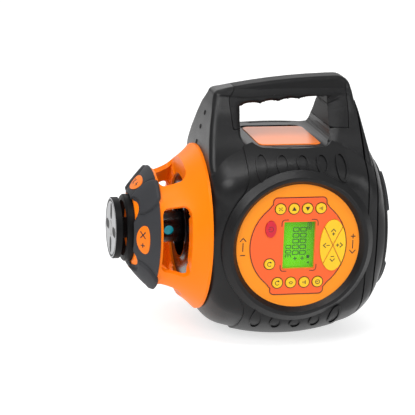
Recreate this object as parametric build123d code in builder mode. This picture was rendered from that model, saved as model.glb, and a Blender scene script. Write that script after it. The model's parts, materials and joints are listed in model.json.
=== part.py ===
"""Rotary laser level, lying on its belly for vertical use.

Millimetres, +Z up.  The laser axis runs along X with the spinning head at -X and the
tripod base at +X.  The control panel faces -Y and its centre is at X = 0.  The origin is
on the floor, below the laser axis at the panel's centre.
"""
import os
from math import atan2, cos, hypot, radians, sin

from build123d import *

os.makedirs("parts", exist_ok=True)

# Clearances shared by all pieces
seat_gap = 0.1
slide_gap = 0.3
running_gap = 0.05
span = 500.0

# Barrel housing, radii about the laser axis
wall = 3.0
head_end = -78.0
base_end = 84.0
front_flat = 72.0
head_radius = front_flat - 1.0
head_shoulder_x = -58.0
head_shoulder_radius = 91.0
crown_x = 6.0
crown_radius = 99.4
base_shoulder_x = 56.0
base_shoulder_radius = 92.0
base_radius = 66.0
flat_round = 24.0
belly_flat = 94.0
foot_height = 2.0
axis_height = belly_flat + foot_height
head_bore = 52.0
base_bore = 50.0
groove_depth = 1.0
groove_width = 1.6
groove_places = (64.0, 74.0)

# Hand opening, handle and fins, heights above the laser axis
floor_height = 85.0
fin_foot = 30.0
fin_head_x = -77.0
fin_head_top_x = -67.0
fin_head_top = 138.0
fin_base_x = 78.0
fin_base_top_x = 62.0
fin_base_top = 145.5
fin_head_round = 14.0
fin_base_round = 20.0
arch_foot_depth = 30.0
arch_shoulder_depth = 57.0
arch_shoulder = 60.0
arch_waist_depth = 27.0
arch_waist = 116.0
arch_top_depth = 15.0
arch_top = 127.0
arch_round = 12.0
opening_head_x = -45.0
opening_base_x = 49.0
opening_round = 18.0
opening_lean = 4.0
grip_head_under = 116.5
grip_base_under = 121.5
finger_pitch = 18.0
finger_count = 4
finger_start_x = -43.6
finger_depth = 2.0
seam_height = 98.0
seam_head_x = -53.0
seam_base_x = 54.0
seam_lean = 6.0
seam_gap = 0.5
handle_edge_round = 6.0
plate_thickness = 2.0
plate_recess = 1.2
plate_head_x = -31.0
plate_base_x = 25.0
plate_depth = 74.0
plate_round = 6.0

# Front and rear covers
cover_raise = 2.0
cover_radius = 70.0
cover_head_x = -48.0
cover_base_x = 50.0
cover_notch_round = 22.0
tread_raise = 1.1
tread_angle = 48.0
tread_width = 12.0
tread_rim = 1.7
tread_pitch = 19.5
tread_middle_x = 4.0
tread_lengths = (29.0, 21.0, 17.0, 21.0, 29.0)
tread_drop = 2.0
bezel_height = 6.0
bezel_outer = 67.0
bezel_lip = 61.0
panel_radius = 57.0

# Control panel
plate_face = 74.7
overlay_thickness = 0.5
overlay_radius = 44.9
tab_width = 45.0
tab_height = 90.6
tab_round = 4.0
lcd_width = 29.1
lcd_height = 43.5
lcd_x = 0.7
lcd_z = 0.6
key_radius = 4.6
key_pitch = 12.44
key_row_x = 0.7
key_top_z = 34.7
key_bottom_z = -33.9
side_key_x = -26.0
side_key_z = -16.1
power_z = 16.3
power_width = 10.0
power_height = 15.4
pad_x = 32.0
pad_width = 24.0
pad_height = 47.6
pad_split = 0.8
key_proud = 0.9
key_travel = 0.8
key_flange = 1.0
stem_radius = 1.5
key_opening = 49.0
board_depth = 61.6
board_thickness = 1.6
board_width = 96.0
board_height = 86.0
dome_height = 1.0
dome_radius = 3.0
post_radius = 3.5
post_x = 42.0
post_z = 36.0

# Lantern guard round the spinning head
skirt_radius = 76.0
skirt_edge = 2.5
skirt_inner = 49.0
window_base_x = -90.0
pillar_waist_x = -95.0
pillar_waist_radius = 63.6
dome_x = -118.0
dome_outer = 54.0
dome_rim_x = -122.0
dome_top_x = -139.5
dome_top_radius = 34.0
dome_wall = 3.5
guard_hole = 25.5
window_head_width = 50.0
window_base_width = 57.0
window_round = 7.0
bumper_thickness = 2.6
bumper_base_x = -121.0
scallop_radius = 9.5
scallop_center = 31.0
lobe_raise = 1.6
lobe_radius = 15.0
lobe_center = 46.0
lobe_angle = 52.0
badge_length = 26.0
badge_width = 11.0
badge_center = 45.0
badge_thickness = 0.8
collar_radius = 30.7
collar_height = 7.0
turret_hole = 27.0
turret_height = 13.0
turret_wall = 2.0
turret_rim = 33.0
turret_rim_height = 6.0

# Spinning head
drum_radius = 14.5
drum_head_x = -118.0
drum_base_x = -92.0
hub_radius = 12.5
hub_base_x = -79.5
bearing_radius = 9.5
bearing_width = 5.0
bearing_gap = 2.5
spindle_radius = 5.0
beam_radius = 2.5
aperture_x = -105.5
aperture_radius = 4.4
prism_face = 8.0
prism_side = 7.0
prism_half = 4.0
neck_radius = 9.5
neck_bore = 4.0
cap_radius = 28.1
cap_thickness = 6.0
cap_face_x = -156.6
face_radius = 24.5
face_thickness = 1.2
face_slot = 7.0
lens_radius = 7.0
pulley_radius = 16.0
pulley_width = 5.5
motor_height = 27.0
motor_radius = 8.0
motor_length = 16.0
motor_pulley_radius = 5.0
shaft_radius = 1.0
belt_thickness = 1.0
belt_width = 4.0

# Gimbal and laser unit
gimbal_x = -52.0
ring_inner = 21.0
ring_outer = 27.0
ring_width = 10.0
pin_radius = 2.0
barrel_radius = 15.0
barrel_bore = 11.0
barrel_base_x = -32.0
flange_thickness = 2.0
diode_length = 26.0
diode_flange = 4.0
yoke_inner = 30.0
yoke_arm = 42.0
yoke_thickness = 4.0
yoke_width = 18.0
chassis_thickness = 4.0
chassis_radius = 63.0
chassis_bore = 41.0
drive_size = 16.0
drive_length = 20.0
plunger_radius = 2.0
fork_width = 8.0
fork_gap = 0.6
blade_thickness = 3.0
blade_half = 4.0
pitch_arm = 36.0
yaw_arm = 23.0
yaw_blade_x = -38.5
fork_depth = 6.0

# Base and feet
base_plate_radius = 63.0
base_plate_thickness = 4.0
base_spigot = 6.0
base_foot_inner = 50.0
base_foot_outer = 60.0
base_foot_angle = 40.0
base_foot_height = 2.5
thread_radius = 6.75
insert_radius = 11.0
insert_length = 22.0
side_insert_length = 14.0
side_foot_radius = 8.0
side_foot_x = 28.0
side_foot_y = 17.0
screw_radius = 2.0
screw_head_radius = 3.8
screw_head_height = 2.4
screw_length = 8.0
screw_circle = 56.5

# Battery unit in the back
lid_x = 14.0
lid_width = 88.0
lid_height = 66.0
lid_thickness = 4.0
lid_round = 8.0
well_x = 22.0
well_width = 62.0
well_height = 58.0
well_depth = 58.0
well_wall = 2.0
cell_radius = 13.1
cell_length = 50.0
tray_wall = 1.0
lock_x = -21.0
lock_head_radius = 8.0
lock_head_height = 3.0
lock_shank_radius = 3.0
lock_length = 12.0
lock_boss_radius = 6.0

# Planes: front_plane is seen from the panel side, head_plane from the head end
front_plane = Plane(origin=(0, 0, axis_height), x_dir=(1, 0, 0), z_dir=(0, -1, 0))
head_plane = Plane(origin=(0, 0, axis_height), x_dir=(0, -1, 0), z_dir=(-1, 0, 0))
laser_axis = Axis((0, 0, axis_height), (1, 0, 0))
axis_point = Location((0, 0, axis_height))


def at_depth(depth):
    """Plane facing the panel side, at a distance in front of the laser axis."""
    return front_plane.offset(depth)


def at_x(x):
    """Plane facing the head end, at a place along the laser axis."""
    return head_plane.offset(-x)


def write(piece, name):
    """Label a finished piece and write it as its own file."""
    piece.part.label = name
    export_step(piece.part, f"parts/{name}.step")


def barrel_curve(inset):
    """Half outline of the barrel, inset from its outer face, closed along the laser axis."""
    head = (head_end + inset, head_radius - inset)
    base = (base_end - inset, base_radius - inset)
    shoulder = (head_shoulder_x, head_shoulder_radius - inset)
    crown_top = (crown_x, crown_radius - inset)
    far_shoulder = (base_shoulder_x, base_shoulder_radius - inset)
    crown = ThreePointArc(shoulder, crown_top, far_shoulder)
    TangentArc(shoulder, head, tangent=(crown % 0) * -1)
    TangentArc(far_shoulder, base, tangent=crown % 1)
    Polyline(base, (base[0], 0), (head[0], 0), head)


def barrel_form(inset):
    """Barrel flattened at the front and back, with rounded edges and a flat belly."""
    with BuildPart() as form:
        with BuildSketch(front_plane):
            with BuildLine():
                barrel_curve(inset)
            make_face()
        revolve(axis=laser_axis)
        with Locations(axis_point):
            Box(span, 2 * (front_flat - inset), span, mode=Mode.INTERSECT)
        fillet(form.faces().filter_by(Plane.XZ).edges(), radius=flat_round - inset)
        with Locations((0, 0, foot_height + max(inset, 0))):
            Box(span, span, span, align=(Align.CENTER, Align.CENTER, Align.MAX), mode=Mode.SUBTRACT)
    return form.part


barrel_solid = barrel_form(0)
cover_solid = barrel_form(-cover_raise)
cavity_solid = barrel_form(wall)


def is_arch_corner(vertex):
    """True for a corner on the side of the handle's arch."""
    return vertex.X > 1 and fin_foot + 1 < vertex.Y < span - 1


def is_rim(edge):
    """True for an edge where the handle's arch meets its outline, clear of the foot."""
    run = ((edge @ 1) - (edge @ 0)).normalized()
    return max(abs(run.X), abs(run.Y)) < 0.9999 and edge.center().Z > axis_height + fin_foot + 1


# Handle block: an arch seen from the head end, crossed with the outline seen from the front
with BuildPart() as handle_block:
    with BuildSketch(at_x(base_end)) as arch:
        with BuildLine():
            Polyline(
                (0, fin_foot),
                (arch_foot_depth, fin_foot),
                (arch_shoulder_depth, arch_shoulder),
                (arch_waist_depth, arch_waist),
                (arch_top_depth, arch_top),
                (arch_top_depth, span),
                (0, span),
                close=True,
            )
        make_face()
        fillet(arch.vertices().filter_by(is_arch_corner), radius=arch_round)
        mirror(about=Plane.YZ)
    extrude(amount=base_end - head_end)
    with BuildSketch(front_plane) as block_outline:
        with BuildLine():
            Polyline(
                (fin_head_x, fin_foot),
                (fin_head_top_x, fin_head_top),
                (fin_base_top_x, fin_base_top),
                (fin_base_x, fin_foot),
                close=True,
            )
        make_face()
        fillet(block_outline.vertices().sort_by(Axis.Y)[2], radius=fin_head_round)
        fillet(block_outline.vertices().sort_by(Axis.Y)[-1], radius=fin_base_round)
    extrude(amount=span / 2, both=True, mode=Mode.INTERSECT)

    fillet(handle_block.edges().filter_by(is_rim), radius=handle_edge_round)

grip_slope = (grip_base_under - grip_head_under) / (opening_base_x - opening_head_x)


def grip_under(x):
    """Height of the grip's underside above the laser axis."""
    return grip_head_under + grip_slope * (x - opening_head_x)


with BuildPart() as hand_opening:
    with BuildSketch(front_plane) as opening_outline:
        with BuildLine():
            finger_x = finger_start_x
            first = Line((opening_head_x, grip_under(opening_head_x)), (finger_x, grip_under(finger_x)))
            for finger in range(finger_count):
                finger_end = finger_x + finger_pitch
                finger_mid = finger_x + finger_pitch / 2
                ThreePointArc(
                    (finger_x, grip_under(finger_x)),
                    (finger_mid, grip_under(finger_mid) + finger_depth),
                    (finger_end, grip_under(finger_end)),
                )
                finger_x = finger_end
            Polyline(
                (finger_x, grip_under(finger_x)),
                (opening_base_x, grip_under(opening_base_x)),
                (opening_base_x - opening_lean, floor_height),
                (opening_head_x - opening_lean, floor_height),
                first @ 0,
            )
        make_face()
        fillet(opening_outline.vertices().group_by(Axis.Y)[0], radius=opening_round)
    extrude(amount=span / 2, both=True)


def grip_zone(inset):
    """Zone of the handle between its seams, drawn in from them by an inset."""
    with BuildPart() as zone:
        with BuildSketch(front_plane):
            with BuildLine():
                Polyline(
                    (seam_head_x + inset, seam_height + inset),
                    (seam_base_x - inset, seam_height + inset),
                    (seam_base_x + seam_lean - inset, fin_base_top + seam_lean),
                    (seam_head_x - seam_lean + inset, fin_base_top + seam_lean),
                    close=True,
                )
            make_face()
        extrude(amount=span / 2, both=True)
    return zone.part


# Carry handle
with BuildPart() as handle_grip:
    add(handle_block.part)
    add(grip_zone(seam_gap), mode=Mode.INTERSECT)
    add(hand_opening.part, mode=Mode.SUBTRACT)
write(handle_grip, "handle_grip")

# Hollow inside the barrel, closed below the hand opening's floor
floor_face = floor_height - plate_recess
with BuildPart() as cavity:
    add(cavity_solid)
    with Locations((0, 0, axis_height + floor_face - wall)):
        Box(span, span, span, align=(Align.CENTER, Align.CENTER, Align.MIN), mode=Mode.SUBTRACT)

# Places shared by the housing, its screws and what they hold
chassis_face = head_end + wall + chassis_thickness
base_face = base_end + base_plate_thickness
rear_face = front_flat
screw_hole = screw_radius + seat_gap
plate_middle = (plate_head_x + plate_base_x) / 2
plate_width = plate_base_x - plate_head_x
lock_hole = lock_shank_radius + seat_gap
lid_back = front_flat + seat_gap
lock_seat = lid_back + lid_thickness

# Grooves round the base end
with BuildPart() as grooves:
    for groove_x in groove_places:
        with Locations((groove_x, 0, axis_height)):
            Box(groove_width, span, span, align=(Align.MIN, Align.CENTER, Align.CENTER))
    add(barrel_form(groove_depth), mode=Mode.SUBTRACT)

# Barrel housing with its fins, battery well, bosses and openings
with BuildPart() as main_housing:
    add(barrel_solid)
    add(handle_block.part)
    add(grip_zone(0), mode=Mode.SUBTRACT)
    add(hand_opening.part, mode=Mode.SUBTRACT)
    add(cavity.part, mode=Mode.SUBTRACT)
    add(grooves.part, mode=Mode.SUBTRACT)
    with Locations((well_x, rear_face, axis_height)):
        Box(
            well_width + 2 * well_wall,
            well_depth + well_wall,
            well_height + 2 * well_wall,
            align=(Align.CENTER, Align.MAX, Align.CENTER),
        )
    with BuildSketch(at_depth(board_depth)):
        with GridLocations(2 * post_x, 2 * post_z, 2, 2):
            Circle(post_radius)
    extrude(amount=front_flat - wall / 2 - board_depth)
    with BuildSketch(at_depth(-rear_face + wall / 2)):
        with Locations((lock_x, 0)):
            Circle(lock_boss_radius)
    extrude(amount=lock_length)
    with BuildSketch(Plane.XY):
        Circle(insert_radius + wall)
    extrude(amount=side_insert_length)
    with Locations((well_x, rear_face, axis_height)):
        Box(
            well_width,
            well_depth,
            well_height,
            align=(Align.CENTER, Align.MAX, Align.CENTER),
            mode=Mode.SUBTRACT,
        )
    with BuildSketch(at_depth(front_flat - 2 * wall)):
        Circle(key_opening)
    extrude(amount=3 * wall, mode=Mode.SUBTRACT)
    with BuildSketch(at_x(head_end + 2 * wall)):
        Circle(head_bore)
        with PolarLocations(screw_circle, 4, start_angle=45):
            Circle(screw_hole)
    extrude(amount=3 * wall, mode=Mode.SUBTRACT)
    with BuildSketch(at_x(base_end + wall)):
        Circle(base_bore)
        with PolarLocations(screw_circle, 4):
            Circle(screw_hole)
    extrude(amount=3 * wall, mode=Mode.SUBTRACT)
    with BuildSketch(at_depth(-lock_seat)):
        with Locations((lock_x, 0)):
            Circle(lock_hole)
    extrude(amount=lock_length + lock_head_height, mode=Mode.SUBTRACT)
    with BuildSketch(Plane.XY):
        Circle(insert_radius)
    extrude(amount=side_insert_length + wall, mode=Mode.SUBTRACT)
    with BuildSketch(Plane.XY.offset(axis_height + floor_face)):
        with Locations((plate_middle, 0)):
            RectangleRounded(plate_width, plate_depth, plate_round)
    extrude(amount=plate_thickness, mode=Mode.SUBTRACT)
write(main_housing, "main_housing")

# Orange plate let into the floor of the hand opening
with BuildPart() as top_plate:
    with BuildSketch(Plane.XY.offset(axis_height + floor_face)):
        with Locations((plate_middle, 0)):
            RectangleRounded(plate_width - 2 * seat_gap, plate_depth - 2 * seat_gap, plate_round - seat_gap)
    extrude(amount=plate_thickness)
    fillet(top_plate.faces().sort_by(Axis.Z)[-1].edges(), radius=plate_thickness / 3)
write(top_plate, "top_plate")


def cover_outline():
    """Outline of a cover seen from the front: a disc crossed by an upright band."""
    Circle(cover_radius)
    with Locations(((cover_head_x + cover_base_x) / 2, 0)):
        Rectangle(cover_base_x - cover_head_x, span)


def is_notch(vertex):
    """True for a corner where the disc meets the band."""
    return hypot(vertex.X, vertex.Y) < 1.1 * cover_radius


def cover_band(depth):
    """Raised cover on the front, or on the back where the depth is negative."""
    with BuildPart() as band:
        add(cover_solid)
        with BuildSketch(front_plane) as outline:
            cover_outline()
            fillet(outline.vertices().filter_by(is_notch), radius=cover_notch_round)
        extrude(amount=depth, mode=Mode.INTERSECT)
        add(barrel_solid, mode=Mode.SUBTRACT)
        add(handle_block.part, mode=Mode.SUBTRACT)
        add(hand_opening.part, mode=Mode.SUBTRACT)
    return band.part


tread_shell = barrel_form(-cover_raise - tread_raise)

# Raised oval rims on the slopes above and below the panel
with BuildPart() as tread_rims:
    for level in (1, -1):
        lean = radians(tread_angle)
        facing = (0, -cos(lean), level * sin(lean))
        slope = Plane(origin=(0, 0, axis_height), x_dir=(level, 0, 0), z_dir=facing)
        with BuildSketch(slope.offset(front_flat)):
            for place, length in enumerate(tread_lengths):
                steps = place - (len(tread_lengths) - 1) / 2
                x = tread_middle_x + steps * tread_pitch
                drop = tread_drop * abs(steps) / 2
                with Locations((level * x, -drop)):
                    Ellipse(tread_width / 2, length / 2)
                    Ellipse(tread_width / 2 - tread_rim, length / 2 - tread_rim, mode=Mode.SUBTRACT)
        extrude(amount=front_flat)
    add(tread_shell, mode=Mode.INTERSECT)
    add(barrel_solid, mode=Mode.SUBTRACT)

panel_axis = Axis((0, 0, axis_height), (0, 1, 0))
bezel_plane = Plane(origin=(0, 0, axis_height), x_dir=(0, 0, 1), z_dir=(1, 0, 0))
cover_face = front_flat + cover_raise
bezel_face = cover_face + bezel_height

# Front cover with the bezel round the control panel
with BuildPart() as front_cover:
    add(cover_band(span / 2))
    add(tread_rims.part)
    with BuildSketch(bezel_plane) as bezel:
        with BuildLine():
            Polyline(
                (panel_radius, cover_radius - flat_round / 2),
                (panel_radius, plate_face),
                (bezel_lip, bezel_face),
                (bezel_outer - bezel_height / 2, bezel_face),
                (cover_radius, cover_face),
                (cover_radius, cover_radius - flat_round / 2),
                close=True,
            )
        make_face()
        fillet(bezel.vertices().group_by(Axis.Y)[-1], radius=bezel_height / 4)
    revolve(axis=panel_axis)
    with BuildSketch(at_depth(0)):
        Circle(panel_radius)
    extrude(amount=span / 2, mode=Mode.SUBTRACT)
    add(barrel_solid, mode=Mode.SUBTRACT)
write(front_cover, "front_cover")

# Rear cover, open round the battery lid
with BuildPart() as rear_cover:
    add(cover_band(-span / 2))
    add(tread_rims.part.mirror(Plane.XZ))
    with BuildSketch(front_plane):
        with Locations((lid_x, 0)):
            RectangleRounded(lid_width + 2 * slide_gap, lid_height + 2 * slide_gap, lid_round + slide_gap)
    extrude(amount=-span / 2, mode=Mode.SUBTRACT)
write(rear_cover, "rear_cover")


side_view = Plane(origin=(0, 0, axis_height), x_dir=(1, 0, 0), z_dir=(0, 0, 1))

# Lantern guard: a flared skirt, cut into four pillars below the dome
with BuildPart() as lantern_guard:
    with BuildSketch(front_plane):
        with BuildLine():
            flare = ThreePointArc(
                (head_end - skirt_edge, skirt_radius),
                (pillar_waist_x, pillar_waist_radius),
                (dome_x, dome_outer),
            )
            Polyline(
                flare @ 1,
                (dome_x, skirt_inner),
                (head_end, skirt_inner),
                (head_end, skirt_radius),
                flare @ 0,
            )
        make_face()
    revolve(axis=laser_axis)
    for view in (front_plane, side_view):
        with BuildSketch(view) as window:
            with BuildLine():
                Polyline(
                    (dome_x, -window_head_width / 2),
                    (dome_x, window_head_width / 2),
                    (window_base_x, window_base_width / 2),
                    (window_base_x, -window_base_width / 2),
                    close=True,
                )
            make_face()
            fillet(window.vertices(), radius=window_round)
        extrude(amount=span / 2, both=True, mode=Mode.SUBTRACT)
    with BuildSketch(front_plane):
        with BuildLine():
            Polyline(
                (dome_x, skirt_inner),
                (dome_x, dome_outer),
                (dome_rim_x, dome_outer),
                (dome_top_x, dome_top_radius),
                (dome_top_x, guard_hole),
                (dome_top_x + dome_wall, guard_hole),
                (dome_top_x + dome_wall, dome_top_radius - dome_wall / 2),
                (dome_rim_x, skirt_inner),
                close=True,
            )
        make_face()
    revolve(axis=laser_axis)
write(lantern_guard, "lantern_guard")


def dome_radius_at(x):
    """Outer radius of the dome's cone at a place along the laser axis."""
    return dome_outer + (x - dome_rim_x) * (dome_top_radius - dome_outer) / (dome_top_x - dome_rim_x)


def dome_layer(low, high, head_x):
    """Turned layer over the dome, between two heights above its face, up to a place near its top."""
    with BuildPart() as layer:
        with BuildSketch(front_plane) as section:
            with BuildLine():
                Polyline(
                    (bumper_base_x, dome_outer + low),
                    (bumper_base_x, dome_outer + high),
                    (dome_rim_x, dome_outer + high),
                    (head_x, dome_radius_at(head_x) + high),
                    (head_x, dome_radius_at(head_x) + low),
                    (dome_rim_x, dome_outer + low),
                    close=True,
                )
            make_face()
        revolve(axis=laser_axis)
    return layer.part


# Rubber bumper over the dome, with four raised lobes and four scallops at its inner edge
with BuildPart() as lobes:
    add(dome_layer(seat_gap, bumper_thickness + lobe_raise, dome_top_x))
    with BuildSketch(head_plane):
        for angle in (lobe_angle, 180 - lobe_angle, 180 + lobe_angle, 360 - lobe_angle):
            with Locations((lobe_center * cos(radians(angle)), lobe_center * sin(radians(angle)))):
                Circle(lobe_radius)
    extrude(amount=span, mode=Mode.INTERSECT)

with BuildPart() as head_bumper:
    add(dome_layer(seat_gap, bumper_thickness, dome_top_x))
    add(lobes.part)
    with BuildSketch(head_plane):
        with PolarLocations(scallop_center, 4, start_angle=45):
            Circle(scallop_radius)
    extrude(amount=span, mode=Mode.SUBTRACT)
write(head_bumper, "head_bumper")

with BuildPart() as axis_badges:
    add(dome_layer(bumper_thickness, bumper_thickness + badge_thickness, dome_top_x))
    with BuildSketch(head_plane):
        with PolarLocations(badge_center, 4):
            Ellipse(badge_width / 2, badge_length / 2)
    extrude(amount=span, mode=Mode.INTERSECT)
write(axis_badges, "axis_badges")

# Black collar round the hole in the dome
with BuildPart() as guard_collar:
    with BuildSketch(at_x(dome_top_x)):
        Circle(collar_radius)
        Circle(guard_hole, mode=Mode.SUBTRACT)
    extrude(amount=collar_height)
    chamfer(guard_collar.faces().sort_by(Axis.X)[0].outer_wire().edges(), length=1.2)
write(guard_collar, "guard_collar")

# Black dish at the foot of the lantern
turret_radius = skirt_inner - seat_gap
with BuildPart() as turret_base:
    with BuildSketch(at_x(head_end)):
        Circle(turret_radius)
    extrude(amount=turret_height)
    with BuildSketch(at_x(head_end)):
        Circle(turret_radius - turret_wall)
    extrude(amount=turret_height - turret_wall, mode=Mode.SUBTRACT)
    with BuildSketch(at_x(head_end - turret_height)):
        Circle(turret_rim)
    extrude(amount=turret_rim_height)
    with BuildSketch(at_x(head_end)):
        Circle(turret_hole)
    extrude(amount=turret_height + turret_rim_height, mode=Mode.SUBTRACT)
    fillet(turret_base.faces().sort_by(Axis.X)[0].outer_wire().edges(), radius=turret_wall)
write(turret_base, "turret_base")

# Laser unit: spindle and barrel, with the bracket of the drive motor and the yaw blade
spindle_tip = hub_base_x - 2 * bearing_width - bearing_gap - 1
bracket_face = hub_base_x + 1.5
bracket_back = bracket_face + flange_thickness
pitch_blade_tip = pitch_arm + fork_depth / 2
yaw_blade_tip = yaw_arm + fork_depth / 2
pin_hole = pin_radius + running_gap
with BuildPart() as laser_barrel:
    with BuildSketch(front_plane):
        with BuildLine():
            Polyline(
                (spindle_tip, beam_radius),
                (spindle_tip, spindle_radius),
                (bracket_face, spindle_radius),
                (bracket_face, barrel_radius),
                (barrel_base_x, barrel_radius),
                (barrel_base_x, barrel_bore),
                (barrel_base_x - diode_length, barrel_bore),
                (barrel_base_x - diode_length, beam_radius),
                close=True,
            )
        make_face()
    revolve(axis=laser_axis)
    with BuildSketch(at_x(bracket_back)):
        Circle(barrel_radius)
        with Locations((0, motor_height)):
            Circle(motor_radius + 1)
        make_hull()
    extrude(amount=flange_thickness)
    with Locations((yaw_blade_x, -(barrel_radius + barrel_bore) / 2, axis_height)):
        Box(
            blade_thickness,
            yaw_blade_tip - (barrel_radius + barrel_bore) / 2,
            2 * blade_half,
            align=(Align.CENTER, Align.MAX, Align.CENTER),
        )
    with BuildSketch(front_plane):
        with BuildLine():
            Polyline(
                (spindle_tip, 0),
                (spindle_tip, beam_radius),
                (barrel_base_x - diode_length, beam_radius),
                (barrel_base_x - diode_length, barrel_bore),
                (barrel_base_x, barrel_bore),
                (barrel_base_x, 0),
                close=True,
            )
        make_face()
    revolve(axis=laser_axis, mode=Mode.SUBTRACT)
    with BuildSketch(at_x(bracket_back)):
        with Locations((0, motor_height)):
            Circle(3 * shaft_radius)
    extrude(amount=flange_thickness, mode=Mode.SUBTRACT)
    with BuildSketch(Plane.XY.offset(axis_height)):
        with Locations((gimbal_x, 0)):
            Circle(pin_hole)
    extrude(amount=2 * barrel_radius, both=True, mode=Mode.SUBTRACT)
write(laser_barrel, "laser_barrel")

# Laser diode and its collimator in the barrel
with BuildPart() as diode_module:
    with BuildSketch(at_x(barrel_base_x)):
        Circle(barrel_bore - seat_gap)
    extrude(amount=diode_length / 2)
    with BuildSketch(at_x(barrel_base_x + diode_flange)):
        Circle(barrel_radius)
    extrude(amount=diode_flange)
    with BuildSketch(at_x(barrel_base_x + diode_flange)):
        with GridLocations(barrel_bore, 0, 2, 1):
            Circle(screw_radius / 2)
    extrude(amount=diode_flange, mode=Mode.SUBTRACT)
    with BuildSketch(at_x(barrel_base_x)):
        with Locations((0, 0)):
            Circle(pin_hole + 2)
    extrude(amount=0.6 * diode_length, mode=Mode.SUBTRACT)
write(diode_module, "diode_module")

# Two bearings on the spindle
with BuildPart() as rotor_bearings:
    for bearing in range(2):
        bearing_x = hub_base_x - 0.5 - bearing * (bearing_width + bearing_gap)
        with BuildSketch(at_x(bearing_x)):
            Circle(bearing_radius)
            Circle(spindle_radius, mode=Mode.SUBTRACT)
        extrude(amount=bearing_width)
write(rotor_bearings, "rotor_bearings")

# Drum of the spinning head: bearing bore, beam hole, prism pocket and side aperture
bore_end = spindle_tip - 0.5
prism_x = aperture_x + prism_face / 2
prism_front = -prism_face / 2
prism_lean = prism_side * cos(radians(22.5))
prism_rise = prism_side * sin(radians(22.5))
pocket_back = prism_front + prism_face + prism_rise + slide_gap
window_depth = drum_radius - 2.8
window_thickness = 2.0
with BuildPart() as rotor_drum:
    with BuildSketch(at_x(drum_base_x)):
        Circle(drum_radius)
    extrude(amount=drum_base_x - drum_head_x)
    chamfer(rotor_drum.faces().sort_by(Axis.X)[-1].edges(), length=1)
    with BuildSketch(at_x(hub_base_x)):
        Circle(hub_radius)
    extrude(amount=hub_base_x - drum_base_x)
    with BuildSketch(at_x(hub_base_x)):
        Circle(bearing_radius + running_gap)
    extrude(amount=hub_base_x - bore_end, mode=Mode.SUBTRACT)
    with BuildSketch(at_x(hub_base_x)):
        Circle(beam_radius)
    extrude(amount=hub_base_x - prism_x, mode=Mode.SUBTRACT)
    with Locations((prism_x + slide_gap, prism_front - slide_gap, axis_height)):
        Box(
            prism_x + slide_gap - drum_head_x,
            pocket_back - prism_front + slide_gap,
            2 * (prism_half + slide_gap),
            align=(Align.MAX, Align.MIN, Align.CENTER),
            mode=Mode.SUBTRACT,
        )
    with BuildSketch(front_plane):
        with Locations((aperture_x, 0)):
            Circle(beam_radius)
    extrude(amount=2 * drum_radius, mode=Mode.SUBTRACT)
    with BuildSketch(at_depth(window_depth - window_thickness)):
        with Locations((aperture_x, 0)):
            Circle(aperture_radius + seat_gap)
    extrude(amount=2 * drum_radius, mode=Mode.SUBTRACT)
write(rotor_drum, "rotor_drum")

with BuildPart() as aperture_window:
    with BuildSketch(at_depth(window_depth - window_thickness)):
        with Locations((aperture_x, 0)):
            Circle(aperture_radius)
    extrude(amount=window_thickness)
write(aperture_window, "aperture_window")

# Pentaprism that turns the beam square to the laser axis
with BuildPart() as pentaprism:
    with BuildSketch(side_view):
        with BuildLine():
            Polyline(
                (prism_x, prism_front),
                (prism_x, prism_front + prism_face),
                (prism_x - prism_lean, prism_front + prism_face + prism_rise),
                (prism_x - prism_face - prism_rise, prism_front + prism_lean),
                (prism_x - prism_face, prism_front),
                close=True,
            )
        make_face()
    extrude(amount=prism_half, both=True)
write(pentaprism, "pentaprism")

# Neck and cap disc of the spinning head
cap_back_x = cap_face_x + cap_thickness
with BuildPart() as rotor_head:
    with BuildSketch(at_x(drum_head_x)):
        Circle(drum_radius)
    extrude(amount=flange_thickness)
    with BuildSketch(at_x(drum_head_x)):
        Circle(neck_radius)
    extrude(amount=drum_head_x - cap_back_x)
    with BuildSketch(at_x(cap_back_x)):
        Circle(cap_radius)
    extrude(amount=cap_thickness)
    fillet(rotor_head.faces().sort_by(Axis.X)[0].edges(), radius=1)
    with BuildSketch(at_x(cap_face_x + face_thickness)):
        Circle(face_radius + seat_gap)
    extrude(amount=face_thickness, mode=Mode.SUBTRACT)
    with BuildSketch(at_x(cap_face_x + 2 * face_thickness)):
        Circle(lens_radius + seat_gap)
    extrude(amount=face_thickness, mode=Mode.SUBTRACT)
    with BuildSketch(at_x(drum_head_x)):
        Circle(neck_bore)
    extrude(amount=span / 2, mode=Mode.SUBTRACT)
write(rotor_head, "rotor_head")

with BuildPart() as cap_face:
    with BuildSketch(at_x(cap_face_x + face_thickness)):
        Circle(face_radius)
        Circle(lens_radius + seat_gap, mode=Mode.SUBTRACT)
        with PolarLocations((face_radius + lens_radius) / 2, 4, start_angle=45):
            SlotOverall(face_radius - lens_radius - 4, face_slot, mode=Mode.SUBTRACT)
    extrude(amount=face_thickness)
write(cap_face, "cap_face")

with BuildPart() as cap_lens:
    with BuildSketch(at_x(cap_face_x + 2 * face_thickness)):
        Circle(lens_radius)
    extrude(amount=2 * face_thickness)
    fillet(cap_lens.faces().sort_by(Axis.X)[0].edges(), radius=face_thickness / 2)
write(cap_lens, "cap_lens")

# Belt drive of the spinning head
pulley_x = hub_base_x - 0.5
with BuildPart() as rotor_pulley:
    with BuildSketch(at_x(pulley_x)):
        Circle(pulley_radius)
        Circle(hub_radius, mode=Mode.SUBTRACT)
    extrude(amount=pulley_width)
write(rotor_pulley, "rotor_pulley")

motor_back_x = bracket_back + motor_length
with BuildPart() as drive_motor:
    with BuildSketch(at_x(motor_back_x)):
        with Locations((0, motor_height)):
            Circle(motor_radius)
    extrude(amount=motor_length)
    with BuildSketch(at_x(motor_back_x - motor_length / 2)):
        with Locations((0, motor_height)):
            Circle(shaft_radius + running_gap)
    extrude(amount=motor_length, mode=Mode.SUBTRACT)
write(drive_motor, "drive_motor")

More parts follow.
